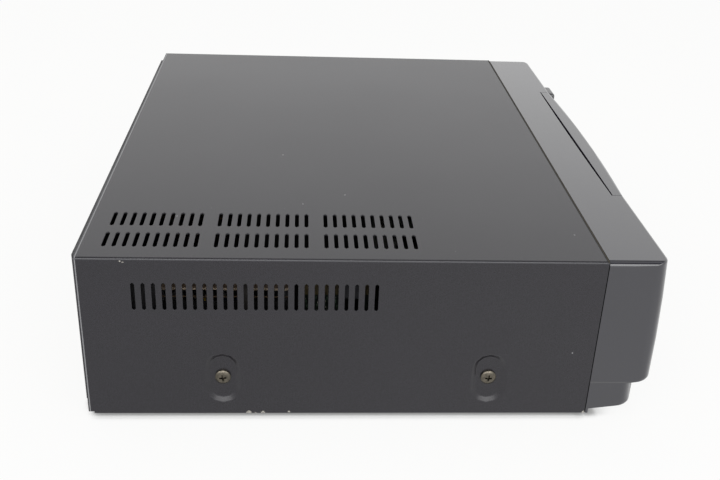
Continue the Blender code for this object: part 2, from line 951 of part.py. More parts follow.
def bezel_ribs():
    """Cheeks beside the cassette door, the sill under it, board pegs and the chassis hooks."""
    inner_front = bezel_front + bezel_wall
    cheek_start = door_width / 2 + door_gap
    cheek_low, cheek_high = sill + door_bottom - cheek_drop, cover_top - bezel_wall / 2
    cheek_rear = bezel_front + cheek_length
    cheek_outline = [(bezel_front_at(height * cover_height) + bezel_wall / 2,
                      min(sill + height * cover_height, cheek_high))
                     for _, height in bezel_bow_shares[:2]]
    cheek_outline += [(bezel_front_at(cheek_low - sill) + bezel_wall / 2, cheek_low),
                      (cheek_rear, cheek_low), (cheek_rear, cheek_high)]
    ribs = []
    for side in (-1, 1):
        edges = sorted((side * cheek_start, side * (cheek_start + cheek)))
        ribs.append(prism([cheek_outline], "X", *edges))
        hook_face = flange_inner - seat_gap
        hook = sorted((side * hook_face, side * (hook_face - hook_width)))
        low = floor_top + hook_height / 2
        ribs.append(block((hook[0], bezel_rear - hook_length / 2, low),
                          (hook[1], chassis_front + hook_length / 2, low + hook_height)))
        root = sorted((side * (half_width - bezel_wall / 2), side * (hook_face - hook_width)))
        ribs.append(block((root[0], bezel_rear - hook_length / 2, low),
                          (root[1], bezel_rear - seam_gap, low + hook_height)))
    sill_top = sill + door_bottom - door_under_gap
    sill_rear = holder_rear - holder_wall_length - holder_floor_reach - door_under_gap
    ribs.append(block((-cheek_start, inner_front - bezel_wall / 2, sill_top - sill_plate),
                      (cheek_start, sill_rear, sill_top)))
    for x in (-half_width + peg_inset, half_width - peg_inset):
        for z in (door_bottom * peg_low_share, door_bottom * peg_high_share):
            ribs.append(rod((x, inner_front - bezel_wall / 2, sill + z),
                            (x, bezel_front + front_board_back_face() - seat_gap, sill + z),
                            peg_radius))
    return ribs


def front_board_back_face():
    """How far the front board's front face stands behind the bezel's foremost line."""
    return front_board_back - board_thickness


def hinge_holes():
    reach = door_width / 2 + door_gap + cheek + overrun
    return [rod((side * (door_width / 2), hinge_y, hinge_z), (side * reach, hinge_y, hinge_z),
                hinge_pin_radius + running_gap) for side in (-1, 1)]


def button_opening(low_x, high_x, low_z, high_z):
    return block((low_x - key_gap, bezel_front - overrun, sill + low_z - key_gap),
                 (high_x + key_gap, bezel_front + step_back - overrun, sill + high_z + key_gap))


def make_bezel():
    bezel = part("front_bezel", bezel_solid(0, bezel_rear), black_gloss)
    cut(bezel, bezel_solid(bezel_wall, bezel_rear + overrun))
    fuse(bezel, *bezel_ribs())
    reach = door_width / 2 + door_gap
    cut(bezel, block((-reach, bezel_front - overrun, sill + door_bottom - door_under_gap),
                     (reach, cover_front - bezel_depth + door_lip + door_gap, cover_top + overrun)))
    cut(bezel, gather(hinge_holes()))
    openings = [button_opening(*spans) for _, spans in button_spans()]
    openings.append(button_opening(-window_width / 2, window_width / 2,
                                   window_centre_height - window_height / 2,
                                   window_centre_height + window_height / 2))
    cut(bezel, gather(openings))
    return bezel


# Cassette door
def door_section(x):
    """The door's wrap in Y and Z at one place across it: bowed forward in the middle."""
    share = x / (door_width / 2)
    bow = door_bow * (1 - share * share)
    top = bezel_bow_shares[0][1] * cover_height
    front_top = bezel_front_at(top) - bow
    front_low = bezel_front_at(door_bottom) - bow
    rear = bezel_front + door_lip
    wall = door_wall
    outer = [(rear, sill + top, 0), (front_top, sill + top, door_edge_radius),
             (front_low, sill + door_bottom, 0), (front_low + wall, sill + door_bottom, 0),
             (front_top + wall, sill + top - wall, max(door_edge_radius - wall, 0)),
             (rear, sill + top - wall, 0)]
    return [(x, y, z) for y, z in rounded(outer)]


def door_ears():
    ears = []
    for side in (-1, 1):
        edge = side * door_width / 2
        inner = edge - side * hinge_ear
        front = bezel_front_at(cover_height) + door_wall / 2
        boss = arc((hinge_y, hinge_z), hinge_boss_radius, -math.pi / 2, math.pi, small_sides // 2)
        outline = [(front, hinge_z - hinge_boss_radius), *boss, (front, cover_top - door_wall)]
        ears.append(prism([outline], "X", min(edge, inner), max(edge, inner)))
        ears.append(rod((inner, hinge_y, hinge_z), (edge + side * hinge_pin_length, hinge_y, hinge_z),
                        hinge_pin_radius))
    return ears


def make_door():
    places = [door_width / 2 * (2 * i / (door_sections - 1) - 1) for i in range(door_sections)]
    door = part("cassette_door", loft([door_section(x) for x in places]), black_gloss)
    fuse(door, *door_ears())
    return set_axis(door, (0, hinge_y, hinge_z))


# Window, tube and front board
def make_display():
    half = window_width / 2
    low = sill + window_centre_height - window_height / 2
    high = low + window_height
    front = bezel_front_at(window_centre_height)
    back = front + bezel_wall + seat_gap
    pane = block((-half, front + seat_gap, low), (half, back + window_rim / 2, high))
    window = part("display_window", pane, smoked_window)
    rim_front = bezel_front + bezel_wall + window_rim / 2
    fuse(window, block((-half - window_rim, rim_front, low - window_rim),
                       (half + window_rim, rim_front + window_rim, high + window_rim)))
    board_front = bezel_front + front_board_back_face()
    board_half = half_width - front_board_inset
    board = block((-board_half, board_front, sill + front_board_low),
                  (board_half, board_front + board_thickness, sill + front_board_high))
    part("front_board", board, board_brown)
    tube_low = sill + window_centre_height - tube_height / 2
    tube_front = rim_front + window_rim + seat_gap
    part("display_tube", block((-tube_width / 2, tube_front, tube_low),
                               (tube_width / 2, board_front - seat_gap, tube_low + tube_height)),
         tube_glass)


# Buttons
def button_spans():
    """Name and (low x, high x, low z, high z) of each button, heights above the cover's edge."""
    half = button_width / 2
    rows = (button_low_row_height, button_low_row_height + button_row_pitch)
    spans = []
    for row, names in zip(rows, (("stop", "pause", "record"), ("rewind", "play", "fast_forward"))):
        for column, name in enumerate(names):
            x = transport_right - (len(names) - 1 - column) * button_column_pitch
            spans.append((name, (x - half, x + half, row - button_height / 2, row + button_height / 2)))
    for row, name in zip(rows, ("channel_down", "channel_up")):
        spans.append((name, (-channel_left - half, -channel_left + half,
                             row - button_height / 2, row + button_height / 2)))
    power_height = cover_height - power_drop
    spans.append(("power", (-power_left - half, -power_left + half,
                            power_height - power_button_height / 2,
                            power_height + power_button_height / 2)))
    spans.append(("eject", (eject_left, eject_left + eject_width,
                            cover_height - eject_bottom_drop, cover_height - eject_top_drop)))
    return spans


def make_buttons():
    board_front = bezel_front + front_board_back_face()
    for name, (low_x, high_x, low_z, high_z) in button_spans():
        face = bezel_front_at((low_z + high_z) / 2) - button_proud
        cap, rounding = button_cap, button_rounding
        if name == "eject":
            face, cap, rounding = cover_front - eject_reach, eject_cap, eject_rounding
        shape = block((low_x, face, sill + low_z), (high_x, face + cap, sill + high_z))
        button = part(name + "_button", shape, black_gloss)
        soften(button, rounding, arc_steps if name == "eject" else 1)
        x, z = (low_x + high_x) / 2, sill + (low_z + high_z) / 2
        if z < sill + front_board_high:
            fuse(button, rod((x, face + cap / 2, z), (x, board_front - button_travel - seat_gap, z),
                             button_stem_radius))
        set_axis(button, (x, face, z))


# Rear panel and sockets
def jack_centres():
    return [(jack_left + column * jack_pitch_x, sill + jack_low + row * jack_pitch_z)
            for row in range(jack_rows) for column in range(jack_columns)]


def aerial_centres():
    return [(aerial_first + i * aerial_pitch, sill + aerial_height) for i in range(2)]


def inlet_spans():
    low = board_top + seat_gap
    return inlet_left, inlet_left + inlet_width, low, low + inlet_height


def rear_openings():
    """What passes through the rear panel, each larger than its piece by the seat gap."""
    front, rear = plate_front - overrun, plate_rear + overrun
    holes = [rod((x, front, z), (x, rear, z), jack_radius + seat_gap) for x, z in jack_centres()]
    holes += [rod((x, front, z), (x, rear, z), aerial_radius + seat_gap)
              for x, z in aerial_centres()]
    left, right, low, high = inlet_spans()
    gap = seat_gap
    holes.append(block((left - gap, front, low - gap), (right + gap, rear, high + gap)))
    half = switch_width / 2 + switch_travel / 2 + gap
    tall = switch_height / 2 + gap
    level = sill + switch_level
    holes.append(block((switch_centre - half, front, level - tall),
                       (switch_centre + half, rear, level + tall)))
    return gather(holes)


def make_rear_panel():
    plate_low = sill + rear_plate_low
    plate_high = cover_top - rear_plate_drop
    reach = rear_plate_half
    wall = rear_rim_wall
    half = flange_inner - seat_gap
    low, high = floor_top + seat_gap, cover_top - cover_sheet - seat_gap
    rim_rear = plate_front - 2 * seat_gap
    join = wall * rear_joint_share
    panel = part("rear_panel", block((-half, rim_rear - rear_rim_length, low), (half, rim_rear, high)),
                 black_moulding)
    fuse(panel, block((-reach + join, rim_rear - wall, plate_low + join),
                      (reach - join, plate_front + wall / 2, plate_high - join)))
    cut(panel, block((-reach + wall, rim_rear - rear_rim_length - overrun, plate_low + wall),
                     (reach - wall, plate_front + wall, plate_high - wall)))
    fuse(panel, block((-reach, plate_front, plate_low), (reach, plate_rear, plate_high)))
    cut(panel, rear_openings())
    return panel


def make_jacks():
    centres = jack_centres()
    left = centres[0][0] - jack_margin
    right = centres[jack_columns - 1][0] + jack_margin
    low = board_top + seat_gap
    high = centres[-1][1] + jack_margin
    rear = plate_front - seat_gap
    jacks = part("jack_block", block((left, rear - jack_block_depth, low), (right, rear, high)),
                 black_moulding)
    fuse(jacks, gather([rod((x, rear - jack_radius, z), (x, socket_tip, z), jack_radius)
                        for x, z in centres]))
    cut(jacks, gather([rod((x, socket_tip - jack_bore_depth, z), (x, socket_tip + overrun, z),
                           jack_bore_radius, small_sides // 2) for x, z in centres]))


def make_tuner():
    low = board_top + seat_gap
    rear = plate_front - tuner_back_gap
    tuner = part("tuner_box", block((tuner_left, rear - tuner_length, low),
                                    (tuner_right, rear, low + tuner_height)), zinc)
    fuse(tuner, gather([rod((x, rear - aerial_radius, z), (x, socket_tip, z), aerial_radius)
                        for x, z in aerial_centres()]))
    cut(tuner, gather([rod((x, socket_tip - aerial_recess, z), (x, socket_tip + overrun, z),
                           aerial_core_radius) for x, z in aerial_centres()]))


def make_switch():
    rear = plate_front - tuner_back_gap + seat_gap
    centre = switch_centre - switch_travel / 2
    level = sill + switch_level
    half, tall = switch_width / 2, switch_height / 2
    knob = part("channel_switch", block((centre - half, rear, level - tall),
                                        (centre + half, plate_rear + switch_reach, level + tall)),
                white_moulding)
    fuse(knob, block((centre - switch_width, rear, level - switch_height),
                     (centre + switch_width, rear + switch_flange, level + switch_height)))
    set_axis(knob, (centre, plate_rear, level))


def make_inlet():
    left, right, low, high = inlet_spans()
    face = plate_rear + inlet_proud
    x, z = (left + right) / 2, (low + high) / 2
    inlet = part("mains_inlet", block((left, face - inlet_depth, low), (right, face, high)),
                 black_moulding)
    cavity = stadium((x, z), inlet_cavity_width, inlet_cavity_height, False, arc_steps * 2)
    cut(inlet, prism([cavity], "Y", face - inlet_cavity_depth, face + overrun))
    back = face - inlet_cavity_depth
    fuse(inlet, gather([rod((x + side * inlet_pin_pitch / 2, back - inlet_pin_radius, z),
                            (x + side * inlet_pin_pitch / 2, back + inlet_pin_length, z),
                            inlet_pin_radius) for side in (-1, 1)]))


# Boards and the power supply
def make_boards():
    rear = cover_rear - board_rear_inset
    front = cover_front + main_board_front_inset
    arm = cover_front + main_board_arm
    outline = [(main_board_side, front), (main_board_right, front), (main_board_right, rear),
               (main_board_left, rear), (main_board_left, arm), (main_board_side, arm)]
    part("main_board", prism([outline], "Z", board_low, board_top), board_brown)
    part("power_board", block((power_board_left, cover_front + power_board_front, board_low),
                              (power_board_right, rear, board_top)), board_brown)


def make_power_supply():
    low = board_top + seat_gap
    rear = cover_rear - transformer_rear_inset
    left = transformer_left
    right = left + transformer_width
    front = rear - transformer_length
    high = low + transformer_height
    core = block((left, front + winding_margin, low), (right, rear - winding_margin, high))
    transformer = part("transformer", core, copper_yellow)
    soften(transformer, bend_radius, 1)
    fuse(transformer, block((left + winding_margin, front, low + winding_height),
                            (right - winding_margin, rear, high - winding_height)))
    start = cover_front + sink_front
    end = start + sink_length
    gap = (sink_length - sink_fin) / (sink_fins - 1)
    comb = [(sink_left, start), (sink_left + sink_depth, start)]
    for i in range(sink_fins):
        y = start + i * gap
        if i:
            comb += [(sink_left + sink_base, y), (sink_left + sink_depth, y)]
        comb += [(sink_left + sink_depth, y + sink_fin)]
        if i < sink_fins - 1:
            comb += [(sink_left + sink_base, y + sink_fin)]
    comb.append((sink_left, end))
    part("heat_sink", prism([comb], "Z", low, low + sink_height), aluminium)
    for name, radius, height, inset in (
            ("capacitor", capacitor_radius, capacitor_height, capacitor_front),
            ("small_capacitor", small_capacitor_radius, small_capacitor_height, small_capacitor_front)):
        profile = [(0, height), (radius - bend_radius, height), (radius, height - bend_radius),
                   (radius, 0), (0, 0)]
        turned_part(name, profile, (capacitor_x, cover_front + inset, low), sleeve_black)


# Deck plate
def track_centre(side):
    """The point that a guide turns about, on the drum's far side from it."""
    return -side * track_centre_x, cover_front + track_centre_inset


def guide_start(side):
    """Where the guide rests, and the angle of that place seen from the track's centre."""
    centre = track_centre(side)
    dy = cover_front + guide_start_inset - centre[1]
    dx = side * guide_start_x - centre[0]
    return math.atan2(dy, dx)


def track_loop(side):
    """The curved slot, a little longer than the guide's swing."""
    centre = track_centre(side)
    start = guide_start(side)
    extra = (guide_neck_radius + running_gap + seat_gap) / track_radius
    swing = side * (track_swing + 2 * extra)
    first = start - side * extra
    outer = arc(centre, track_radius + track_width / 2, first, swing, track_steps)
    inner = arc(centre, track_radius - track_width / 2, first + swing, -swing, track_steps)
    return outer + inner


def capstan_place():
    return capstan_x, cover_front + capstan_inset


def cam_gear_place():
    return cam_gear_x, cover_front + cam_gear_inset


def make_deck():
    rear = deck_front + deck_length
    half = deck_half_width
    outline = rounded([(-half, deck_front, deck_corner), (half, deck_front, deck_corner),
                       (half, rear, deck_corner), (-half, rear, deck_corner)])
    loops = [outline, track_loop(-1), track_loop(1),
             ring(capstan_place(), capstan_radius + running_gap)]
    deck = part("deck_plate", prism(loops, "Z", deck_low, deck_top), zinc)
    x, y = cam_gear_place()
    stud_low = deck_low - cam_gear_drop - gear_thickness - seat_gap
    fuse(deck, rod((x, y, stud_low), (x, y, deck_low + deck_thickness / 2), cam_stud_radius,
                   round_sides))
    return deck


def make_reels():
    base = reel_flange
    hub = base + reel_hub_height
    profile = [(0, hub), (reel_hub_radius, hub), (reel_hub_radius, base), (reel_radius, base),
               (reel_radius, 0), (0, 0)]
    low = deck_top + seat_gap
    for name, side in (("supply_reel_table", -1), ("take_up_reel_table", 1)):
        x = side * reel_pitch / 2
        table = turned_part(name, profile, (x, reel_y, low), white_moulding)
        step = math.pi / reel_splines
        star = []
        for i in range(2 * reel_splines):
            radius = reel_spline_reach if i % 2 == 0 else reel_spindle_radius
            for turn in (-step / 3, step / 3):
                star.append((x + radius * math.cos(i * step + turn),
                             reel_y + radius * math.sin(i * step + turn)))
        fuse(table, prism([star], "Z", low + base, low + hub + reel_spindle_height))


# Head drum, leaning back on its plinth
def drum_point(height):
    base = deck_top + drum_plinth
    return 0, drum_y - height * math.sin(-drum_tilt), base + height * math.cos(drum_tilt)


def make_drum():
    top = lower_drum_height
    low = -2 * drum_plinth
    lean = -drum_tilt
    profile = [(0, top), (drum_radius, top), (drum_radius, low), (0, low)]
    lower = turned_part("lower_drum", profile, drum_point(0), aluminium, drum_sides, lean)
    reach = 2 * drum_radius
    cut(lower, block((-reach, drum_y - reach, deck_top - reach),
                     (reach, drum_y + reach, deck_top + seat_gap)))
    base = running_gap
    top = base + upper_drum_height
    groove = top / 2
    profile = [(0, top + drum_cap_height), (drum_cap_radius, top + drum_cap_height),
               (drum_cap_radius, top), (drum_radius, top), (drum_radius, groove + drum_groove),
               (drum_radius - drum_groove, groove + drum_groove / 2), (drum_radius, groove),
               (drum_radius, base), (0, base)]
    upper = turned_part("upper_drum", profile, drum_point(lower_drum_height), aluminium,
                        drum_sides, lean)
    axis = drum_point(lower_drum_height)
    half = head_window / 2
    windows = gather([block((-half, side * drum_radius - head_window_depth, -overrun),
                            (half, side * drum_radius + head_window_depth, base + head_window))
                      for side in (-1, 1)])
    windows.location = axis
    windows.rotation_euler = (lean, 0, 0)
    cut(upper, windows)


# Capstan and pinch roller
def make_capstan():
    x, y = capstan_place()
    low = sill + flywheel_level
    top = deck_top + capstan_reach - low
    profile = [(0, top), (capstan_radius, top), (capstan_radius, flywheel_thickness),
               (flywheel_radius, flywheel_thickness), (flywheel_radius, 0), (0, 0)]
    turned_part("capstan", profile, (x, y, low), aluminium, round_sides)
    motor_top = floor_top + capstan_motor_height
    profile = [(0, motor_top), (capstan_motor_radius / 2, motor_top),
               (capstan_motor_radius / 2, motor_top - foot_taper),
               (capstan_motor_radius, motor_top - foot_taper),
               (capstan_motor_radius, floor_top + seat_gap), (0, floor_top + seat_gap)]
    turned_part("capstan_motor", profile, (x, y, 0), zinc)


def pinch_pivot():
    x, y = capstan_place()
    return x + pinch_arm_x, y + pinch_arm_y


def pinch_rest():
    x, y = pinch_pivot()
    angle = pinch_contact_angle - pinch_swing
    return x + pinch_arm_length * math.cos(angle), y + pinch_arm_length * math.sin(angle)


def make_pinch_arm():
    pivot, end = Vector(pinch_pivot()), Vector(pinch_rest())
    level = deck_top + pinch_arm_level
    along = (end - pivot).normalized()
    heading = math.atan2(along.y, along.x)
    outline = (arc(pivot, pinch_boss_radius, heading + math.pi / 2, math.pi, small_sides // 2)
               + arc(end, pinch_boss_radius, heading - math.pi / 2, math.pi, small_sides // 2))
    arm = part("pinch_arm", prism([outline], "Z", level, level + pinch_arm_thickness), zinc)
    post_top = level + pinch_arm_thickness + pinch_height / 2
    pin_top = level + pinch_arm_thickness + 2 * seat_gap + pinch_height
    fuse(arm, rod((*pivot, deck_top + seat_gap), (*pivot, post_top), post_radius),
         rod((*end, level + pinch_arm_thickness / 2), (*end, pin_top), pinch_bore - running_gap))
    set_axis(arm, (*pivot, level))
    low = level + pinch_arm_thickness + seat_gap
    loops = [ring(end, pinch_radius, round_sides), ring(end, pinch_bore)]
    roller = part("pinch_roller", prism(loops, "Z", low, low + pinch_height), roller_rubber)
    set_axis(roller, (*end, low))


# Tape guides and heads
def make_guides():
    base = guide_base_height
    top = guide_height
    neck = -seat_gap - deck_thickness - seat_gap
    rim = guide_flange_height
    profile = [(0, top), (guide_flange_radius, top), (guide_flange_radius, top - rim),
               (guide_post_radius, top - rim), (guide_post_radius, base), (guide_base_radius, base),
               (guide_base_radius, 0), (guide_neck_radius, 0), (guide_neck_radius, neck),
               (guide_foot_radius, neck), (guide_foot_radius, neck - guide_foot_height),
               (0, neck - guide_foot_height)]
    for name, side in (("supply_guide", -1), ("take_up_guide", 1)):
        centre = track_centre(side)
        angle = guide_start(side)
        x = centre[0] + track_radius * math.cos(angle)
        y = centre[1] + track_radius * math.sin(angle)
        turned_part(name, profile, (x, y, deck_top + seat_gap), white_moulding, small_sides)


def make_heads():
    for name, x, inset in (("erase_head", erase_head_x, erase_head_inset),
                           ("audio_head", audio_head_x, audio_head_inset)):
        y = cover_front + inset
        low = deck_top + seat_gap
        face = max(head_face_radius, head_width / 2)
        bulge = math.asin(head_width / 2 / face)
        front = y - head_depth / 2
        outline = [(x + head_width / 2, y + head_depth / 2), (x - head_width / 2, y + head_depth / 2)]
        outline += arc((x, front + face * math.cos(bulge)), face, -math.pi / 2 - bulge, 2 * bulge,
                       small_sides // 2)
        part(name, prism([outline], "Z", low, low + head_height), zinc)


# Cassette carriage
def pin_pair(x_low, x_high, level, radius, places):
    return [rod((side * x_low, y, level), (side * x_high, y, level), radius, pin_sides)
            for side in (-1, 1) for y in places]


def holder_pin_places():
    return holder_rear - holder_pin_front, holder_rear - holder_pin_rear


def carriage_pin_places():
    return carriage_rear - carriage_pin_front, carriage_rear - carriage_pin_rear


def make_holder():
    half = holder_half_width
    low, high = sill + holder_floor, sill + holder_wall_top
    front = holder_rear - holder_wall_length - holder_floor_reach
    wall_front = holder_rear - holder_wall_length
    corners = [(-half + holder_lip, high, 0), (-half, high, bend_radius), (-half, low, bend_radius),
               (half, low, bend_radius), (half, high, bend_radius), (half - holder_lip, high, 0)]
    tray = bent_sheet(rounded(corners, 2), holder_rear, front, holder_sheet, True)
    holder = part("cassette_holder", solid_copy(tray), zinc)
    strip = half - holder_floor_strip
    cut(holder,
        block((-half - overrun, front - overrun, low + holder_sheet + bend_radius),
              (half + overrun, wall_front, high + overrun)),
        block((-strip, front - overrun, low - overrun),
              (strip, holder_rear + overrun, low + holder_sheet + overrun)))
    sheet = holder_sheet
    stops = [block((min(side * half, side * (half - holder_stop_width)) + sheet / 4,
                    holder_rear - sheet, low + sheet / 2),
                   (max(side * half, side * (half - holder_stop_width)) - sheet / 4,
                    holder_rear - sheet / 4, high - sheet / 2)) for side in (-1, 1)]
    bar = block((-half + holder_lip / 2, holder_rear - holder_bar, high - sheet + sheet / 8),
                (half - holder_lip / 2, holder_rear - sheet / 8, high - sheet / 8))
    fuse(holder, bar, gather(stops))
    fuse(holder, gather(pin_pair(half - sheet / 2, carriage_half_width + bend_radius / 2,
                                 sill + holder_pin_level, holder_pin_radius, holder_pin_places())))
    return set_axis(holder, (0, holder_rear, low))


def make_carriage():
    half = carriage_half_width
    low, high = sill + carriage_low, sill + carriage_high
    front = carriage_rear - holder_wall_length
    path = channel_path(half, low, high, bend_radius)
    shape = bent_sheet(path, carriage_rear, front, mechanism_sheet, True)
    frame = part("carriage_frame", solid_copy(shape), zinc)
    inner = half - holder_floor_strip
    cut(frame, block((-inner, front - overrun, high - mechanism_sheet - overrun),
                     (inner, carriage_rear - carriage_strip, high + overrun)))
    slot_high = sill + holder_pin_level + holder_pin_radius + running_gap
    slot_low = slot_high - holder_drop - 2 * (holder_pin_radius + running_gap)
    loops = [stadium((y, (slot_low + slot_high) / 2), slot_high - slot_low,
                     2 * (holder_pin_radius + running_gap), True, pin_sides // 2)
             for y in holder_pin_places()]
    cut(frame, gather([prism(loops, "X", *sorted((side * (half + overrun),
                                                  side * (half - mechanism_sheet - overrun / 2))))
                       for side in (-1, 1)]))
    pin_end = bracket_outer + mechanism_sheet / 2
    fuse(frame, gather(pin_pair(half - mechanism_sheet / 2, pin_end, sill + carriage_pin_level,
                                holder_pin_radius, carriage_pin_places())))
    return set_axis(frame, (0, carriage_rear, high))


def make_brackets():
    inner, outer = bracket_inner, bracket_outer
    front = cover_front + bracket_front_inset
    rear = front + bracket_length
    low, high = deck_top + seat_gap, sill + bracket_top
    pins = carriage_pin_places()
    margin = holder_pin_radius + running_gap
    level = sill + carriage_pin_level
    slot_start = min(pins) - margin
    slot_end = max(pins) + carriage_travel + margin
    slot = stadium(((slot_start + slot_end) / 2, level), slot_end - slot_start, 2 * margin, False,
                   small_sides // 2)
    window_front, window_rear = front + bracket_window_inset, rear - bracket_window_inset
    window_low = deck_top + bracket_window_low
    window_high = window_low + bracket_window_height
    window = rounded([(window_front, window_low, deck_corner), (window_rear, window_low, deck_corner),
                      (window_rear, window_high, deck_corner),
                      (window_front, window_high, deck_corner)], 2)
    for name, side in (("left_bracket", -1), ("right_bracket", 1)):
        corners = [(side * (outer + bracket_foot), low, 0), (side * outer, low, bend_radius),
                   (side * outer, high, 0)]
        shape = bent_sheet(rounded(corners, bend_steps), rear, front, mechanism_sheet, False)
        bracket = part(name, solid_copy(shape), zinc)
        spans = sorted((side * (inner - overrun / 2), side * (outer + overrun)))
        cut(bracket, prism([slot], "X", *spans), prism([window], "X", *spans))
    start = cover_front + bridge_inset
    part("carriage_bridge", block((-outer, start, high + seat_gap),
                                  (outer, start + bridge_length, high + seat_gap + mechanism_sheet)),
         zinc)


# Loading motor, pinion and cam gear
def gear_outline(teeth, centre, turn):
    """Involute teeth, thinned for backlash, as one closed outline."""
    pitch = teeth * gear_module / 2
    base = pitch * math.cos(pressure_angle)
    tip = pitch + gear_module * tooth_tip_share
    root = pitch - gear_module * tooth_root_share
    at_pitch = math.tan(pressure_angle) - pressure_angle
    half = (math.pi * gear_module / 2 - gear_backlash) / (2 * pitch)
    flank = []
    for radius in (root, (pitch + max(root, base)) / 2, tip):
        roll = math.acos(min(base / radius, 1.0))
        flank.append((radius, half + at_pitch - (math.tan(roll) - roll)))
    points = []
    for tooth in range(teeth):
        middle = turn + 2 * math.pi * tooth / teeth
        sides = [(r, middle - a) for r, a in flank] + [(r, middle + a) for r, a in reversed(flank)]
        points += [(centre[0] + r * math.cos(a), centre[1] + r * math.sin(a)) for r, a in sides]
    return points


def pinion_place():
    x, y = cam_gear_place()
    reach = (cam_gear_teeth + pinion_teeth) * gear_module / 2 + gear_mesh_gap
    return x + reach * math.cos(gear_direction), y + reach * math.sin(gear_direction)


def make_loading_drive():
    centre, motor = cam_gear_place(), pinion_place()
    high = deck_low - cam_gear_drop
    low = high - gear_thickness
    outline = gear_outline(cam_gear_teeth, centre, gear_direction + math.pi / cam_gear_teeth)
    loops = [outline, ring(centre, cam_stud_radius + running_gap, round_sides)]
    set_axis(part("cam_gear", prism(loops, "Z", low, high), white_moulding), (*centre, low))
    body_low = floor_top + seat_gap
    body_top = low - motor_top_gap
    shoulder = body_top - motor_boss_height
    profile = [(0, body_top), (motor_boss_radius, body_top), (motor_boss_radius, shoulder),
               (motor_radius, shoulder), (motor_radius, body_low), (0, body_low)]
    turned_part("loading_motor", profile, (*motor, 0), zinc)
    teeth = gear_outline(pinion_teeth, motor, gear_direction + math.pi)
    shape = prism([teeth], "Z", low - pinion_extra, high + pinion_extra)
    pinion = part("motor_pinion", shape, white_moulding)
    fuse(pinion, rod((*motor, body_top + seat_gap), (*motor, low), pinion_hub_radius, small_sides))
    set_axis(pinion, (*motor, low))


def main():
    make_cover()
    make_side_screws()
    make_chassis()
    make_feet()
    make_bezel()
    make_door()
    make_display()
    make_buttons()
    make_rear_panel()
    make_jacks()
    make_tuner()
    make_switch()
    make_inlet()
    make_boards()
    make_power_supply()
    make_deck()
    make_reels()
    make_drum()
    make_capstan()
    make_pinch_arm()
    make_guides()
    make_heads()
    make_holder()
    make_carriage()
    make_brackets()
    make_loading_drive()


main()
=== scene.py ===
"""The looks of a front-loading video cassette recorder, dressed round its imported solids.

Metres. The front faces -Y, the user's right is +X, and the feet stand on Z = 0.
"""

import json
import logging
import math
import random
from dataclasses import dataclass, field
from enum import Enum
from typing import Iterable, Sequence

import bmesh
import bpy
from mathutils import Euler, Matrix, Vector


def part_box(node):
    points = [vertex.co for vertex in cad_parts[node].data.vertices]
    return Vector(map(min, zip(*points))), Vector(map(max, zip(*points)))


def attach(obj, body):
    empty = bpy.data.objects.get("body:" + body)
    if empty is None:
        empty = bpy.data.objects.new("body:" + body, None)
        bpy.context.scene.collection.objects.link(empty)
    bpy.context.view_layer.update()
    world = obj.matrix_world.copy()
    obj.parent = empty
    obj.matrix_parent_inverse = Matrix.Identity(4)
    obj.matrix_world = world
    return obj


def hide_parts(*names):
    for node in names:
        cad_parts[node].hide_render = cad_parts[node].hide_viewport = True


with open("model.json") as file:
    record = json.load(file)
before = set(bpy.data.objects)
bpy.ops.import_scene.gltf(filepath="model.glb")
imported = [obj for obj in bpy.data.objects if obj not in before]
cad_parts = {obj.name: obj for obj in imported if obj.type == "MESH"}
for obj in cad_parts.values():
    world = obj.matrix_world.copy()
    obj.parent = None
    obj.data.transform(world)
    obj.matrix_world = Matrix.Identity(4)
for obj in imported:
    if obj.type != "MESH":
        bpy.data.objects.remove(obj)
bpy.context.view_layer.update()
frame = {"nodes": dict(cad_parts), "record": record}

LOG = logging.getLogger("recorder")
Colour = tuple[float, float, float]
Point = tuple[float, float, float]
MILLIMETRE = 0.001
MERGE_DISTANCE = 0.00001
SMOOTH_ANGLE = math.radians(32.0)
SKIN = 0.00004


class Side(Enum):
    """The two ends of the recorder across its width."""

    LEFT = -1
    RIGHT = 1


class Sign(Enum):
    """The plain marks on the buttons, which are the same on any recorder."""

    STOP = "stop_button"
    PAUSE = "pause_button"
    RECORD = "record_button"
    REWIND = "rewind_button"
    PLAY = "play_button"
    FAST_FORWARD = "fast_forward_button"
    DOWN = "channel_down_button"
    UP = "channel_up_button"
    POWER = "power_button"
    EJECT = "eject_button"


# Materials


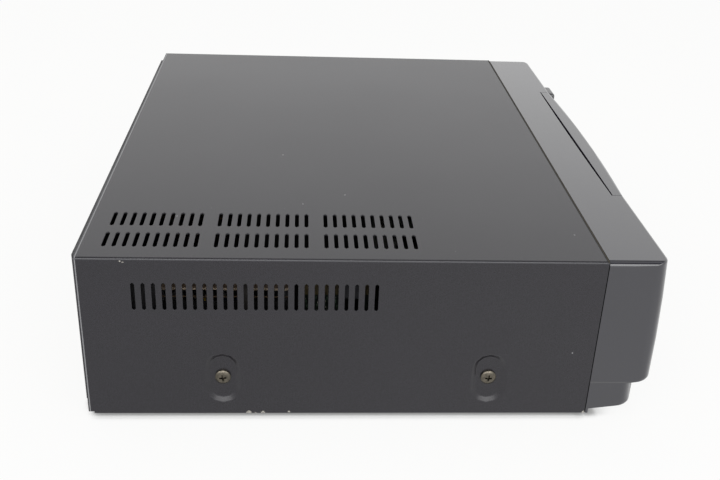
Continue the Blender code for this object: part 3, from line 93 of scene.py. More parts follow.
class Graph:
    """One node material being built: a Principled surface and the nodes that feed it."""

    def __init__(self, name: str) -> None:
        """Start a material.

        Args:
            name: The material's name.
        """
        self.material = bpy.data.materials.new(name)
        self.material.use_nodes = True
        self.nodes = self.material.node_tree.nodes
        self.links = self.material.node_tree.links
        self.surface = self.nodes["Principled BSDF"]
        self.place = self.nodes.new("ShaderNodeTexCoord").outputs["Object"]

    def plug(self, value: object, socket: bpy.types.NodeSocket) -> None:
        """Link an output to a socket, or set the socket to a plain value.

        Args:
            value: An output socket, a number, a colour or a vector.
            socket: The input socket that takes it.
        """
        if isinstance(value, bpy.types.NodeSocket):
            self.links.new(value, socket)
        elif isinstance(value, tuple) and len(value) == 3 and socket.type == "RGBA":
            socket.default_value = (*value, 1.0)
        else:
            socket.default_value = value

    def feed(self, **inputs: object) -> None:
        """Give the surface its inputs, by name with _ for a space.

        Args:
            **inputs: Output sockets or plain values.
        """
        for name, value in inputs.items():
            self.plug(value, self.surface.inputs[name.replace("_", " ")])

    def math(self, operation: str, first: object, second: object = 0.0) -> bpy.types.NodeSocket:
        """One Math node.

        Args:
            operation: Blender's name of the operation.
            first: The first operand.
            second: The second operand.

        Returns:
            The node's output.
        """
        node = self.nodes.new("ShaderNodeMath")
        node.operation = operation
        self.plug(first, node.inputs[0])
        self.plug(second, node.inputs[1])
        return node.outputs[0]

    def stretched(self, stretch: Point) -> bpy.types.NodeSocket:
        """The object's coordinates, scaled along each axis.

        Args:
            stretch: The scale along each axis.

        Returns:
            The scaled coordinates.
        """
        node = self.nodes.new("ShaderNodeMapping")
        self.links.new(self.place, node.inputs["Vector"])
        node.inputs["Scale"].default_value = stretch
        return node.outputs[0]

    def shifted(self, centre: Point) -> bpy.types.NodeSocket:
        """The object's coordinates, measured from a point.

        Args:
            centre: The point.

        Returns:
            The coordinates from that point.
        """
        node = self.nodes.new("ShaderNodeMapping")
        self.links.new(self.place, node.inputs["Vector"])
        node.inputs["Location"].default_value = tuple(-value for value in centre)
        return node.outputs[0]

    def noise(self, scale: float, detail: float = 2.0, stretch: Point = (1.0, 1.0, 1.0),
              roughness: float = 0.5) -> bpy.types.NodeSocket:
        """Soft noise, as a number about 0.5.

        Args:
            scale: Features in a metre.
            detail: Octaves.
            stretch: Scale along each axis.
            roughness: How strong the fine octaves are.

        Returns:
            The noise's output.
        """
        node = self.nodes.new("ShaderNodeTexNoise")
        self.links.new(self.stretched(stretch), node.inputs["Vector"])
        node.inputs["Scale"].default_value = scale
        node.inputs["Detail"].default_value = detail
        node.inputs["Roughness"].default_value = roughness
        return node.outputs["Fac"]

    def cells(self, scale: float, output: str = "Distance",
              stretch: Point = (1.0, 1.0, 1.0)) -> bpy.types.NodeSocket:
        """Voronoi cells: the distance to their centres, or a colour for each.

        Args:
            scale: Cells in a metre.
            output: Distance or Color.
            stretch: Scale along each axis.

        Returns:
            The output asked for.
        """
        node = self.nodes.new("ShaderNodeTexVoronoi")
        self.links.new(self.stretched(stretch), node.inputs["Vector"])
        node.inputs["Scale"].default_value = scale
        return node.outputs[output]

    def fade(self, value: object, low: float, high: float, out_low: float = 0.0,
             out_high: float = 1.0) -> bpy.types.NodeSocket:
        """A clamped fade of a value from one range to another.

        Args:
            value: What is read.
            low: Where the fade starts.
            high: Where the fade ends.
            out_low: What it gives before the start.
            out_high: What it gives after the end.

        Returns:
            The faded value.
        """
        node = self.nodes.new("ShaderNodeMapRange")
        node.interpolation_type = "SMOOTHSTEP"
        for name, number in (("Value", value), ("From Min", low), ("From Max", high),
                             ("To Min", out_low), ("To Max", out_high)):
            self.plug(number, node.inputs[name])
        return node.outputs[0]

    def mix(self, factor: object, first: object, second: object) -> bpy.types.NodeSocket:
        """A colour between two.

        Args:
            factor: 0 for the first and 1 for the second.
            first: A colour or an output.
            second: A colour or an output.

        Returns:
            The mixed colour.
        """
        node = self.nodes.new("ShaderNodeMix")
        node.data_type = "RGBA"
        self.plug(factor, node.inputs[0])
        self.plug(first, node.inputs[6])
        self.plug(second, node.inputs[7])
        return node.outputs[2]

    def axes(self, source: object = None) -> tuple[bpy.types.NodeSocket, ...]:
        """The X, Y and Z of a vector, or of the object's coordinates.

        Args:
            source: The vector's output, or nothing for the coordinates.

        Returns:
            The three outputs.
        """
        node = self.nodes.new("ShaderNodeSeparateXYZ")
        self.links.new(source or self.place, node.inputs[0])
        return tuple(node.outputs)

    def bump(self, height: bpy.types.NodeSocket, depth: float) -> None:
        """Relief on the surface.

        Args:
            height: A value from 0 to 1.
            depth: The height of 1, in metres.
        """
        node = self.nodes.new("ShaderNodeBump")
        node.inputs["Distance"].default_value = depth
        self.links.new(height, node.inputs["Height"])
        self.links.new(node.outputs[0], self.surface.inputs["Normal"])


@dataclass(frozen=True)
class Finish:
    """A finish with grain, mottling and an uneven roughness."""

    name: str
    colour: Colour
    tint: Colour
    roughness: float = 0.5
    spread: float = 0.06
    metallic: float = 0.0
    grain: float = 1200.0
    depth: float = 0.00003
    mottle: float = 25.0
    stretch: Point = (1.0, 1.0, 1.0)
    coat: float = 0.0
    specular: float = 0.5

    def material(self) -> bpy.types.Material:
        """Build the material.

        Returns:
            The node material of this finish.
        """
        graph = Graph(self.name)
        self.dress(graph)
        return graph.material

    def dress(self, graph: Graph) -> bpy.types.NodeSocket:
        """Give a graph this finish's colour, roughness and relief.

        Args:
            graph: The material being built.

        Returns:
            The base colour's output, for a finish that adds to it.
        """
        grain = graph.noise(self.grain, 3.0, self.stretch)
        cloud = graph.noise(self.mottle, 3.0)
        colour = graph.mix(graph.fade(cloud, 0.35, 0.65), self.colour, self.tint)
        low, high = self.roughness - self.spread, self.roughness + self.spread
        graph.feed(Base_Color=colour, Roughness=graph.fade(cloud, 0.3, 0.7, low, high),
                   Metallic=self.metallic, Coat_Weight=self.coat, Coat_Roughness=0.12,
                   Specular_IOR_Level=self.specular)
        graph.bump(grain, self.depth)
        return colour


@dataclass(frozen=True)
class Rim:
    """A band along an edge of the cover, between two values of Y or Z and above a height."""

    axis: int
    low: float
    high: float
    floor: float
    colour: Colour
    strength: float
    roughness: float


@dataclass(frozen=True)
class CoverPaint(Finish):
    """The cover's fine textured paint, with lint, a few chips, a tan line at the front edge,
    painted shade along the front seam and painted highlights near the rear edge and along the top
    bend.
    """

    bare: Colour = (0.40, 0.38, 0.34)
    lint: Colour = (0.40, 0.40, 0.41)
    speckle: float = 0.30
    speckle_grain: float = 1500.0
    brightening: float = 2.4
    lint_cells: float = 330.0
    lint_chance: float = 0.993
    lint_radius: tuple[float, float] = (0.12, 0.06)
    lint_strength: float = 0.30
    speck_strength: float = 0.55
    worn_grain: float = 1300.0
    worn_level: float = 0.46
    chips: tuple[tuple[float, float, float, float], ...] = ()
    specks: tuple[tuple[float, float, float, float], ...] = ()
    rims: tuple[Rim, ...] = ()

    def spot(self, graph: Graph, centre: Point, reach: float) -> bpy.types.NodeSocket:
        """A mask that is 1 within a reach of a point.

        Args:
            graph: The material being built.
            centre: The point.
            reach: How far the mask goes.

        Returns:
            The mask.
        """
        node = graph.nodes.new("ShaderNodeVectorMath")
        node.operation = "LENGTH"
        graph.links.new(graph.shifted(centre), node.inputs[0])
        return graph.math("LESS_THAN", node.outputs["Value"], reach)

    def dress(self, graph: Graph) -> bpy.types.NodeSocket:
        """Give a graph the paint, the lint and wear on it, and its bands of painted shade and
        highlight.

        Args:
            graph: The material being built.

        Returns:
            The base colour's output.
        """
        colour = super().dress(graph)
        fine = graph.fade(graph.noise(self.speckle_grain, 1.0), 0.35, 0.65)
        bright = tuple(value * self.brightening for value in self.colour)
        colour = graph.mix(graph.math("MULTIPLY", fine, self.speckle), colour, bright)
        chance = graph.axes(graph.cells(self.lint_cells, "Color"))[0]
        grains = graph.math("MULTIPLY", graph.math("GREATER_THAN", chance, self.lint_chance),
                            graph.fade(graph.cells(self.lint_cells), *self.lint_radius))
        colour = graph.mix(graph.math("MULTIPLY", grains, self.lint_strength), colour, self.lint)
        worn = graph.math("GREATER_THAN", graph.noise(self.worn_grain, 2.0), self.worn_level)
        for x, y, z, reach in self.chips:
            near = graph.math("MULTIPLY", self.spot(graph, (x, y, z), reach), worn)
            colour = graph.mix(near, colour, self.bare)
        for x, y, z, reach in self.specks:
            near = graph.math("MULTIPLY", self.spot(graph, (x, y, z), reach),
                              self.speck_strength)
            colour = graph.mix(near, colour, self.lint)
        rough: object = graph.fade(graph.noise(self.mottle, 3.0), 0.3, 0.7,
                                   self.roughness - self.spread, self.roughness + self.spread)
        axes = graph.axes()
        # Bands along the edges: painted shade at the front seam, painted highlights near the rear
        # edge and along the top bend, and a tan line at the front edge.
        for rim in self.rims:
            inside = graph.math("MULTIPLY", graph.math("GREATER_THAN", axes[rim.axis], rim.low),
                                graph.math("LESS_THAN", axes[rim.axis], rim.high))
            inside = graph.math("MULTIPLY", inside, graph.math("GREATER_THAN", axes[2], rim.floor))
            colour = graph.mix(graph.math("MULTIPLY", inside, rim.strength), colour, rim.colour)
            change = graph.math("MULTIPLY", inside, rim.roughness - self.roughness)
            rough = graph.math("ADD", rough, change)
        graph.feed(Base_Color=colour, Roughness=rough)
        return colour


@dataclass(frozen=True)
class Laminate(Finish):
    """A brown circuit board with copper tracks under its lacquer."""

    copper: Colour = (0.20, 0.22, 0.10)
    track: float = 220.0
    track_stretch: float = 0.12
    track_patch: float = 18.0
    track_level: float = 0.62
    track_strength: float = 0.7

    def dress(self, graph: Graph) -> bpy.types.NodeSocket:
        """Give a graph the laminate and its tracks.

        Args:
            graph: The material being built.

        Returns:
            The base colour's output.
        """
        colour = super().dress(graph)
        along = graph.cells(self.track, "Color", (1.0, self.track_stretch, 0.3))
        across = graph.cells(self.track, "Color", (self.track_stretch, 1.0, 0.3))
        pick = graph.math("GREATER_THAN", graph.noise(self.track_patch, 1.0), 0.5)
        lines = graph.math("GREATER_THAN", graph.mix(pick, along, across), self.track_level)
        colour = graph.mix(graph.math("MULTIPLY", lines, self.track_strength), colour,
                           self.copper)
        graph.feed(Base_Color=colour)
        return colour


@dataclass(frozen=True)
class Layered(Finish):
    """A finish whose colour changes in bands along one axis, such as a wound core, and here also
    bands of painted highlight and painted light and shade.
    """

    axis: int = 1
    bands: tuple[tuple[float, float, Colour], ...] = ()

    def dress(self, graph: Graph) -> bpy.types.NodeSocket:
        """Give a graph the finish and its bands.

        Args:
            graph: The material being built.

        Returns:
            The base colour's output.
        """
        colour = super().dress(graph)
        value = graph.axes()[self.axis]
        for low, high, band in self.bands:
            inside = graph.math("MULTIPLY", graph.math("GREATER_THAN", value, low),
                                graph.math("LESS_THAN", value, high))
            colour = graph.mix(inside, colour, band)
        graph.feed(Base_Color=colour)
        return colour


@dataclass(frozen=True)
class Spangled(Finish):
    """Zinc plated sheet, with faint crystals."""

    crystal: float = 160.0

    def dress(self, graph: Graph) -> bpy.types.NodeSocket:
        """Give a graph the plating.

        Args:
            graph: The material being built.

        Returns:
            The base colour's output.
        """
        colour = super().dress(graph)
        shade = graph.cells(self.crystal, "Color")
        flake = graph.fade(graph.axes(shade)[0], 0.0, 1.0, 0.0, 0.35)
        colour = graph.mix(flake, colour, self.tint)
        low, high = self.roughness - self.spread, self.roughness + self.spread
        graph.feed(Base_Color=colour,
                   Roughness=graph.fade(graph.axes(shade)[1], 0.0, 1.0, low, high))
        return colour


@dataclass(frozen=True)
class Turned(Finish):
    """Metal turned on a lathe: fine rings round an upright axis."""

    centre: Point = (0.0, 0.0, 0.0)
    rings: float = 2600.0

    def dress(self, graph: Graph) -> bpy.types.NodeSocket:
        """Give a graph the turned rings.

        Args:
            graph: The material being built.

        Returns:
            The base colour's output.
        """
        colour = super().dress(graph)
        wave = graph.nodes.new("ShaderNodeTexWave")
        wave.wave_type = "RINGS"
        wave.rings_direction = "Z"
        graph.links.new(graph.shifted(self.centre), wave.inputs["Vector"])
        wave.inputs["Scale"].default_value = self.rings
        wave.inputs["Distortion"].default_value = 1.5
        graph.bump(wave.outputs["Fac"], self.depth)
        return colour


@dataclass(frozen=True)
class Smoked(Finish):
    """Dark clear plastic or glass."""

    transmission: float = 0.6

    def dress(self, graph: Graph) -> bpy.types.NodeSocket:
        """Give a graph the clear finish.

        Args:
            graph: The material being built.

        Returns:
            The base colour's output.
        """
        colour = super().dress(graph)
        graph.feed(Transmission_Weight=self.transmission, IOR=1.49)
        return colour


COVER_LOW, COVER_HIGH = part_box("top_cover")
PAINT = CoverPaint(
    "textured_black_paint", (0.0135, 0.0125, 0.0165), (0.0120, 0.0110, 0.0148), 0.25, 0.010,
    grain=1800.0, depth=0.000010, mottle=9.0, specular=0.59,
    chips=((COVER_LOW.x, 0.0734, 0.0034, 0.0017), (COVER_LOW.x, 0.0646, 0.0034, 0.0013),
           (COVER_LOW.x, 0.0690, 0.0031, 0.0008), (COVER_LOW.x, 0.0482, 0.0040, 0.0008),
           (COVER_LOW.x, COVER_LOW.y + 0.0007, 0.0034, 0.0011),
           (COVER_LOW.x, 0.1446, 0.1102, 0.0006), (COVER_LOW.x, 0.1462, 0.1109, 0.0005)),
    specks=((-0.1552, 0.1199, COVER_HIGH.z, 0.0006), (-0.0487, 0.0554, COVER_HIGH.z, 0.0007),
            (-0.1346, 0.0406, COVER_HIGH.z, 0.0006), (-0.1192, 0.0125, COVER_HIGH.z, 0.0006),
            (-0.1762, -0.1296, COVER_HIGH.z, 0.0006), (COVER_LOW.x, -0.1280, 0.0488, 0.0005)),
    # Painted shade: a dull near-black band on the cover along its front seam with the bezel.
    rims=(Rim(1, COVER_LOW.y - 1.0, COVER_LOW.y + 0.0014, COVER_HIGH.z - 0.0008,
              (0.010, 0.010, 0.010), 0.8, 0.80),
          Rim(1, COVER_LOW.y - 1.0, COVER_LOW.y + 0.0006, COVER_HIGH.z - 0.0008,
              (0.085, 0.070, 0.045), 0.7, 0.60),
          # Painted highlight: a pale line near the rear edge, on the sides and the top.
          Rim(1, COVER_HIGH.y - 0.0014, COVER_HIGH.y - 0.0007, 0.0,
              (0.30, 0.30, 0.31), 0.75, 0.35),
          # Painted highlight: a lighter, glossier line along the bends from the top to the sides.
          Rim(2, COVER_HIGH.z - 0.0014, COVER_HIGH.z - 0.0005, COVER_HIGH.z - 0.002,
              (0.055, 0.055, 0.062), 0.8, 0.25)))
# Painted shade: a dull black for the bezel's faces in and behind the seam under the cover.
SEAM_SHADE = Finish("seam_shadow", (0.004, 0.004, 0.004), (0.003, 0.003, 0.003), 0.85, 0.05,
              grain=900.0, depth=0.00001, mottle=60.0, specular=0.05)
GLOSS = Finish("semi_gloss_black", (0.0062, 0.0058, 0.0140), (0.0050, 0.0048, 0.0120), 0.18,
               0.015, grain=700.0, depth=0.000004, mottle=10.0, coat=0.66, specular=0.97)
# Painted highlight: a lighter band round the bezel at the height of its lower step.
LEDGE_HIGHLIGHT_GLOSS = Layered(
    "bezel_black", GLOSS.colour, GLOSS.tint, GLOSS.roughness, GLOSS.spread, grain=GLOSS.grain,
    depth=GLOSS.depth, mottle=GLOSS.mottle, coat=GLOSS.coat, specular=GLOSS.specular, axis=2,
    bands=((0.0262, 0.0270, (0.036, 0.036, 0.040)),))
CLOSE_GLOSS = Finish("button_black", (0.045, 0.045, 0.050), (0.038, 0.038, 0.043), 0.36, 0.03,
                     grain=2200.0, depth=0.000005, mottle=60.0, coat=0.5, specular=0.9)
MOULDED = Finish("moulded_black", (0.040, 0.040, 0.043), (0.034, 0.034, 0.036), 0.52, 0.06,
                 grain=1400.0, depth=0.00006, mottle=18.0)
RUBBER = Finish("foot_rubber", (0.045, 0.045, 0.046), (0.060, 0.058, 0.055), 0.85, 0.05,
                grain=900.0, depth=0.00008, mottle=120.0, specular=0.25)
ROLLER = Finish("roller_rubber", (0.055, 0.050, 0.046), (0.075, 0.070, 0.064), 0.72, 0.06,
                grain=2500.0, depth=0.00002, mottle=200.0)
WINDOW = Smoked("smoked_window", (0.020, 0.021, 0.024), (0.014, 0.015, 0.018), 0.08, 0.02,
                grain=300.0, depth=0.000004, transmission=0.35)
TUBE = Smoked("display_glass", (0.10, 0.14, 0.14), (0.07, 0.10, 0.10), 0.10, 0.02,
              grain=300.0, depth=0.000002, transmission=0.3)
ZINC = Spangled("zinc_plate", (0.58, 0.57, 0.53), (0.44, 0.44, 0.43), 0.36, 0.10, metallic=0.92,
                grain=800.0, depth=0.00001, mottle=14.0)
BRONZED = Turned("screw_steel", (0.17, 0.15, 0.12), (0.11, 0.10, 0.08), 0.26, 0.06, metallic=0.95,
                 grain=3000.0, depth=0.000006, mottle=500.0)
BRIGHT = Finish("bright_steel", (0.66, 0.65, 0.62), (0.52, 0.52, 0.50), 0.24, 0.08, metallic=0.97,
                grain=2600.0, depth=0.000006, mottle=300.0)
ALLOY = Turned("turned_alloy", (0.72, 0.72, 0.73), (0.60, 0.60, 0.62), 0.30, 0.06, metallic=0.95,
               grain=1500.0, depth=0.00001, mottle=60.0)
FINNED = Finish("black_anodised", (0.030, 0.030, 0.032), (0.022, 0.022, 0.024), 0.48, 0.08,
                metallic=0.3, grain=400.0, depth=0.00002, mottle=60.0, stretch=(1.0, 1.0, 14.0))
LAMINATE = Laminate("brown_laminate", (0.36, 0.21, 0.09), (0.30, 0.17, 0.07), 0.42, 0.08,
                    grain=900.0, depth=0.00001, mottle=30.0)
SLEEVE = Finish("shrink_sleeve", (0.035, 0.045, 0.085), (0.028, 0.036, 0.070), 0.30, 0.06,
                grain=1200.0, depth=0.00001, mottle=80.0, coat=0.2)
NATURAL = Finish("natural_moulding", (0.78, 0.77, 0.72), (0.72, 0.71, 0.66), 0.42, 0.06,
                 grain=900.0, depth=0.00002, mottle=90.0)
YELLOW = Finish("yellow_moulding", (0.80, 0.56, 0.04), (0.72, 0.48, 0.03), 0.40, 0.06,
                grain=900.0, depth=0.00001, mottle=90.0)
RED = Finish("red_moulding", (0.55, 0.03, 0.03), (0.46, 0.02, 0.02), 0.40, 0.06,
             grain=900.0, depth=0.00001, mottle=90.0)
TAPE = Finish("polyester_tape", (0.80, 0.55, 0.08), (0.70, 0.44, 0.06), 0.28, 0.08,
              grain=260.0, depth=0.00004, mottle=60.0, stretch=(1.0, 1.0, 6.0), coat=0.3)
FERRITE = Finish("ferrite", (0.055, 0.055, 0.060), (0.040, 0.040, 0.044), 0.60, 0.08,
                 grain=1800.0, depth=0.00004, mottle=120.0)
RESISTOR = Finish("resistor_lacquer", (0.62, 0.47, 0.30), (0.52, 0.38, 0.22), 0.38, 0.08,
                  grain=1500.0, depth=0.00002, mottle=400.0)
CERAMIC = Finish("ceramic_lacquer", (0.66, 0.30, 0.08), (0.56, 0.24, 0.05), 0.40, 0.08,
                 grain=1500.0, depth=0.00002, mottle=400.0)
MARKING = Finish("pale_marking", (0.62, 0.62, 0.60), (0.56, 0.56, 0.54), 0.55, 0.05,
                 grain=2500.0, depth=0.000004, mottle=400.0)
GHOST = Finish("unlit_segment", (0.20, 0.25, 0.22), (0.16, 0.20, 0.18), 0.6, 0.05,
               grain=2500.0, depth=0.000004, mottle=400.0)
# Painted highlight: a pale band on the riser board's near edge, facing the side slots.
RISER = Layered("cut_laminate", (0.13, 0.085, 0.050), (0.10, 0.065, 0.038), 0.50, 0.08,
                grain=900.0, depth=0.00001, mottle=40.0, axis=0,
                bands=((-0.1910, -0.18985, (0.62, 0.50, 0.38)),))
# Painted shade: near-black strips behind the side slots, two of them a little lighter in tone.
SHADE_STRIP_FINISH = Layered("dark_shield", (0.012, 0.0115, 0.0125), (0.009, 0.0085, 0.0095), 0.75, 0.06,
                 grain=900.0, depth=0.00002, mottle=60.0, specular=0.3, axis=1,
                 bands=((0.05, 0.09, (0.030, 0.027, 0.025)), (0.0, 0.02, (0.026, 0.026, 0.030))))
# Painted light and shade: the standing board is near black below as shade and brown in its upper
# band as lit laminate.
STANDING_BOARD_LIGHT_SHADE = Layered("coated_laminate", (0.010, 0.016, 0.011), (0.008, 0.013, 0.009), 0.50, 0.08,
                 grain=900.0, depth=0.00001, mottle=200.0, axis=2,
                 bands=((0.0752, 0.1000, (0.125, 0.095, 0.050)),))
# Painted shade: near-black sheets that darken the view through the side slots.
SHADE_SHEET_FINISH = Finish("fibre_sheet", (0.008, 0.008, 0.008), (0.006, 0.006, 0.006), 0.80, 0.05,
                    grain=900.0, depth=0.00002, mottle=60.0, specular=0.2)
GREEN = Finish("green_lacquer", (0.13, 0.20, 0.14), (0.09, 0.15, 0.10), 0.35, 0.08,
               grain=1500.0, depth=0.00001, mottle=400.0)
SOLDER = Finish("solder", (0.80, 0.78, 0.70), (0.66, 0.62, 0.52), 0.28, 0.08, metallic=0.3,
                grain=1500.0, depth=0.00001, mottle=400.0)
LAMINATIONS = Layered("core_laminations", (0.30, 0.28, 0.26), (0.20, 0.19, 0.18), 0.45, 0.08,
                      metallic=0.6, grain=600.0, depth=0.00006, mottle=60.0,
                      stretch=(1.0, 1.0, 12.0), axis=1)

SLOT_FINISHES: dict[str, Finish] = {
    "black_paint": PAINT, "black_gloss": GLOSS, "black_moulding": MOULDED,
    "smoked_window": WINDOW, "zinc": ZINC, "screw_bronze": BRONZED, "foot_rubber": RUBBER,
    "board_brown": LAMINATE, "tube_glass": TUBE, "aluminium": ALLOY, "copper_yellow": TAPE,
    "sleeve_black": SLEEVE, "white_moulding": NATURAL, "roller_rubber": ROLLER,
}
MADE: dict[str, bpy.types.Material] = {}


def surface_of(finish: Finish) -> bpy.types.Material:
    """The finish's material, built once.

    Args:
        finish: The finish.

    Returns:
        Its material.
    """
    if finish.name not in MADE:
        MADE[finish.name] = finish.material()
    return MADE[finish.name]


# Meshes


def smooth(piece: bpy.types.Object, angle: float = SMOOTH_ANGLE) -> None:
    """Shade a piece smooth, apart from its edges sharper than an angle.

    Args:
        piece: The piece.
        angle: The sharpest turn that stays smooth.
    """
    mesh = piece.data
    mesh.polygons.foreach_set("use_smooth", [True] * len(mesh.polygons))
    mesh.set_sharp_from_angle(angle=angle)


def finished(name: str, source: bmesh.types.BMesh | bpy.types.Mesh, finish: Finish,
             angle: float = SMOOTH_ANGLE) -> bpy.types.Object:
    """Make an object of a mesh, with its finish, at the origin.

    Args:
        name: The piece's name.
        source: The mesh in the making, or a plain mesh.
        finish: What it is made of.
        angle: The sharpest turn that stays smooth.

    Returns:
        The new object.
    """
    if isinstance(source, bmesh.types.BMesh):
        bmesh.ops.remove_doubles(source, verts=source.verts, dist=MERGE_DISTANCE / 2)
        bmesh.ops.recalc_face_normals(source, faces=source.faces)
        mesh = bpy.data.meshes.new(name)
        source.to_mesh(mesh)
        source.free()
    else:
        mesh = source
        mesh.name = name
    mesh.materials.clear()
    mesh.materials.append(surface_of(finish))
    piece = bpy.data.objects.new(name, mesh)
    bpy.context.scene.collection.objects.link(piece)
    smooth(piece, angle)
    return piece


def place_on(piece: bpy.types.Object, body: str, slot: str, *nodes: str) -> None:
    """Ride a piece on a body, and let it stand for CAD nodes.

    Args:
        piece: The finished piece.
        body: The body that carries it.
        slot: The record's material slot; not used.
        *nodes: The CAD nodes that it replaces.
    """
    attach(piece, body)
    if nodes:
        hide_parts(*nodes)
    LOG.info("%s: %d faces on %s", piece.name, len(piece.data.polygons), body)


def lathe(mesh: bmesh.types.BMesh, profile: Sequence[tuple[float, float]], sides: int,
          turn: Matrix = Matrix()) -> None:
    """Add a turned form to a mesh, closed at both ends of its profile.

    Args:
        mesh: The mesh in the making.
        profile: Radius and height, from the axis out and back to it.
        sides: Facets round the axis.
        turn: Where the form goes, with its axis along the local Z.
    """
    rings = []
    for radius, height in profile:
        if radius <= 0:
            rings.append([mesh.verts.new(turn @ Vector((0, 0, height)))])
            continue
        angles = (2 * math.pi * i / sides for i in range(sides))
        rings.append([mesh.verts.new(turn @ Vector((radius * math.cos(a), radius * math.sin(a),
                                                    height))) for a in angles])
    for ring, following in zip(rings, rings[1:]):
        for i in range(sides):
            j = (i + 1) % sides
            corners = [ring[i % len(ring)], ring[j % len(ring)], following[j % len(following)],
                       following[i % len(following)]]
            corners = list(dict.fromkeys(corners))
            if len(corners) > 2:
                mesh.faces.new(corners)


def ring_form(mesh: bmesh.types.BMesh, profile: Sequence[tuple[float, float]], sides: int,
              turn: Matrix = Matrix()) -> None:
    """Add a hollow turned form, whose closed profile goes all the way round.

    Args:
        mesh: The mesh in the making.
        profile: Radius and height round the section.
        sides: Facets round the axis.
        turn: Where the form goes, with its axis along the local Z.
    """
    rings = []
    for i in range(sides):
        a = 2 * math.pi * i / sides
        rings.append([mesh.verts.new(turn @ Vector((radius * math.cos(a), radius * math.sin(a),
                                                    height))) for radius, height in profile])
    count = len(profile)
    for i in range(sides):
        here, after = rings[i], rings[(i + 1) % sides]
        for k in range(count):
            mesh.faces.new((here[k], here[(k + 1) % count], after[(k + 1) % count], after[k]))


def slab(mesh: bmesh.types.BMesh, outline: Sequence[tuple[float, float]], low: float, high: float,
         turn: Matrix = Matrix()) -> None:
    """Add a flat outline, given a thickness.

    Args:
        mesh: The mesh in the making.
        outline: Points of the outline, in order.
        low: The lower face's height along the local Z.
        high: The upper face's height.
        turn: Where the form goes.
    """
    rings = [[mesh.verts.new(turn @ Vector((x, y, z))) for x, y in outline] for z in (low, high)]
    for i in range(len(outline)):
        j = (i + 1) % len(outline)
        mesh.faces.new((rings[0][i], rings[0][j], rings[1][j], rings[1][i]))
    mesh.faces.new(list(reversed(rings[0])))
    mesh.faces.new(rings[1])


def brick(mesh: bmesh.types.BMesh, low: Sequence[float], high: Sequence[float],
          rounding: float = 0.0, steps: int = 2) -> None:
    """Add a box with rounded edges.

    Args:
        mesh: The mesh in the making.
        low: Its lowest corner.
        high: Its highest corner.
        rounding: The width of the rounding on its edges.
        steps: Facets of the rounding.
    """
    low, high = Vector(low), Vector(high)
    spot = Matrix.Translation((low + high) / 2) @ Matrix.Diagonal((*(high - low), 1.0))
    made = bmesh.ops.create_cube(mesh, size=1.0, matrix=spot)
    if rounding > 0:
        edges = {edge for vert in made["verts"] for edge in vert.link_edges}
        bmesh.ops.bevel(mesh, geom=list(edges), offset=rounding, segments=steps, profile=0.5,
                        affect="EDGES", clamp_overlap=True)


def circle(radius: float, sides: int, centre: tuple[float, float] = (0.0, 0.0)
           ) -> list[tuple[float, float]]:
    """Points of a circle, anticlockwise.

    Args:
        radius: Its radius.
        sides: How many points.
        centre: Its middle.

    Returns:
        The points.
    """
    angles = (2 * math.pi * i / sides for i in range(sides))
    return [(centre[0] + radius * math.cos(a), centre[1] + radius * math.sin(a)) for a in angles]


def turned_copy(node: str, name: str, finish: Finish, bevel: float = 0.0,
                steps: int = 2) -> bpy.types.Object:
    """A copy of a CAD node with clean edges, for a form that wants softer corners.

    Args:
        node: The CAD node.
        name: The piece's name.
        finish: What it is made of.
        bevel: The width of the rounding on its sharp edges.
        steps: Facets of the rounding.

    Returns:
        The new object.
    """
    return weighed(finished(name, softened(merged_copy(node), bevel, steps), finish))


def softened(mesh: bmesh.types.BMesh, width: float, steps: int = 2) -> bmesh.types.BMesh:
    """Round the sharp edges of a mesh.

    Args:
        mesh: The mesh in the making.
        width: The width of the rounding, or 0 for none.
        steps: Facets of the rounding.

    Returns:
        The same mesh.
    """
    if width > 0:
        sharp = [edge for edge in mesh.edges if edge.is_manifold
                 and edge.calc_face_angle(0.0) > SMOOTH_ANGLE]
        bmesh.ops.bevel(mesh, geom=sharp, offset=width, segments=steps, profile=0.5,
                        affect="EDGES", clamp_overlap=True)
    return mesh


def merged_copy(node: str) -> bmesh.types.BMesh:
    """A CAD node's mesh with its triangles joined, and its flat faces made whole.

    Args:
        node: The CAD node.

    Returns:
        The mesh in the making.
    """
    mesh = bmesh.new()
    mesh.from_mesh(frame["nodes"][node].data)
    bmesh.ops.remove_doubles(mesh, verts=mesh.verts, dist=MERGE_DISTANCE)
    bmesh.ops.dissolve_limit(mesh, angle_limit=math.radians(0.5), verts=mesh.verts,
                             edges=mesh.edges)
    return mesh


def weighed(piece: bpy.types.Object) -> bpy.types.Object:
    """Weigh a piece's normals by face area, so that flat faces beside a bend stay flat.

    Args:
        piece: The piece.

    Returns:
        The same piece, with a plain mesh.
    """
    modifier = piece.modifiers.new("weighed", "WEIGHTED_NORMAL")
    modifier.mode = "FACE_AREA"
    modifier.weight = 100
    modifier.keep_sharp = True
    graph = bpy.context.evaluated_depsgraph_get()
    made = bpy.data.meshes.new_from_object(piece.evaluated_get(graph))
    piece.modifiers.remove(modifier)
    old, name = piece.data, piece.data.name
    piece.data = made
    bpy.data.meshes.remove(old)
    made.name = name
    return piece


# Geometry Nodes


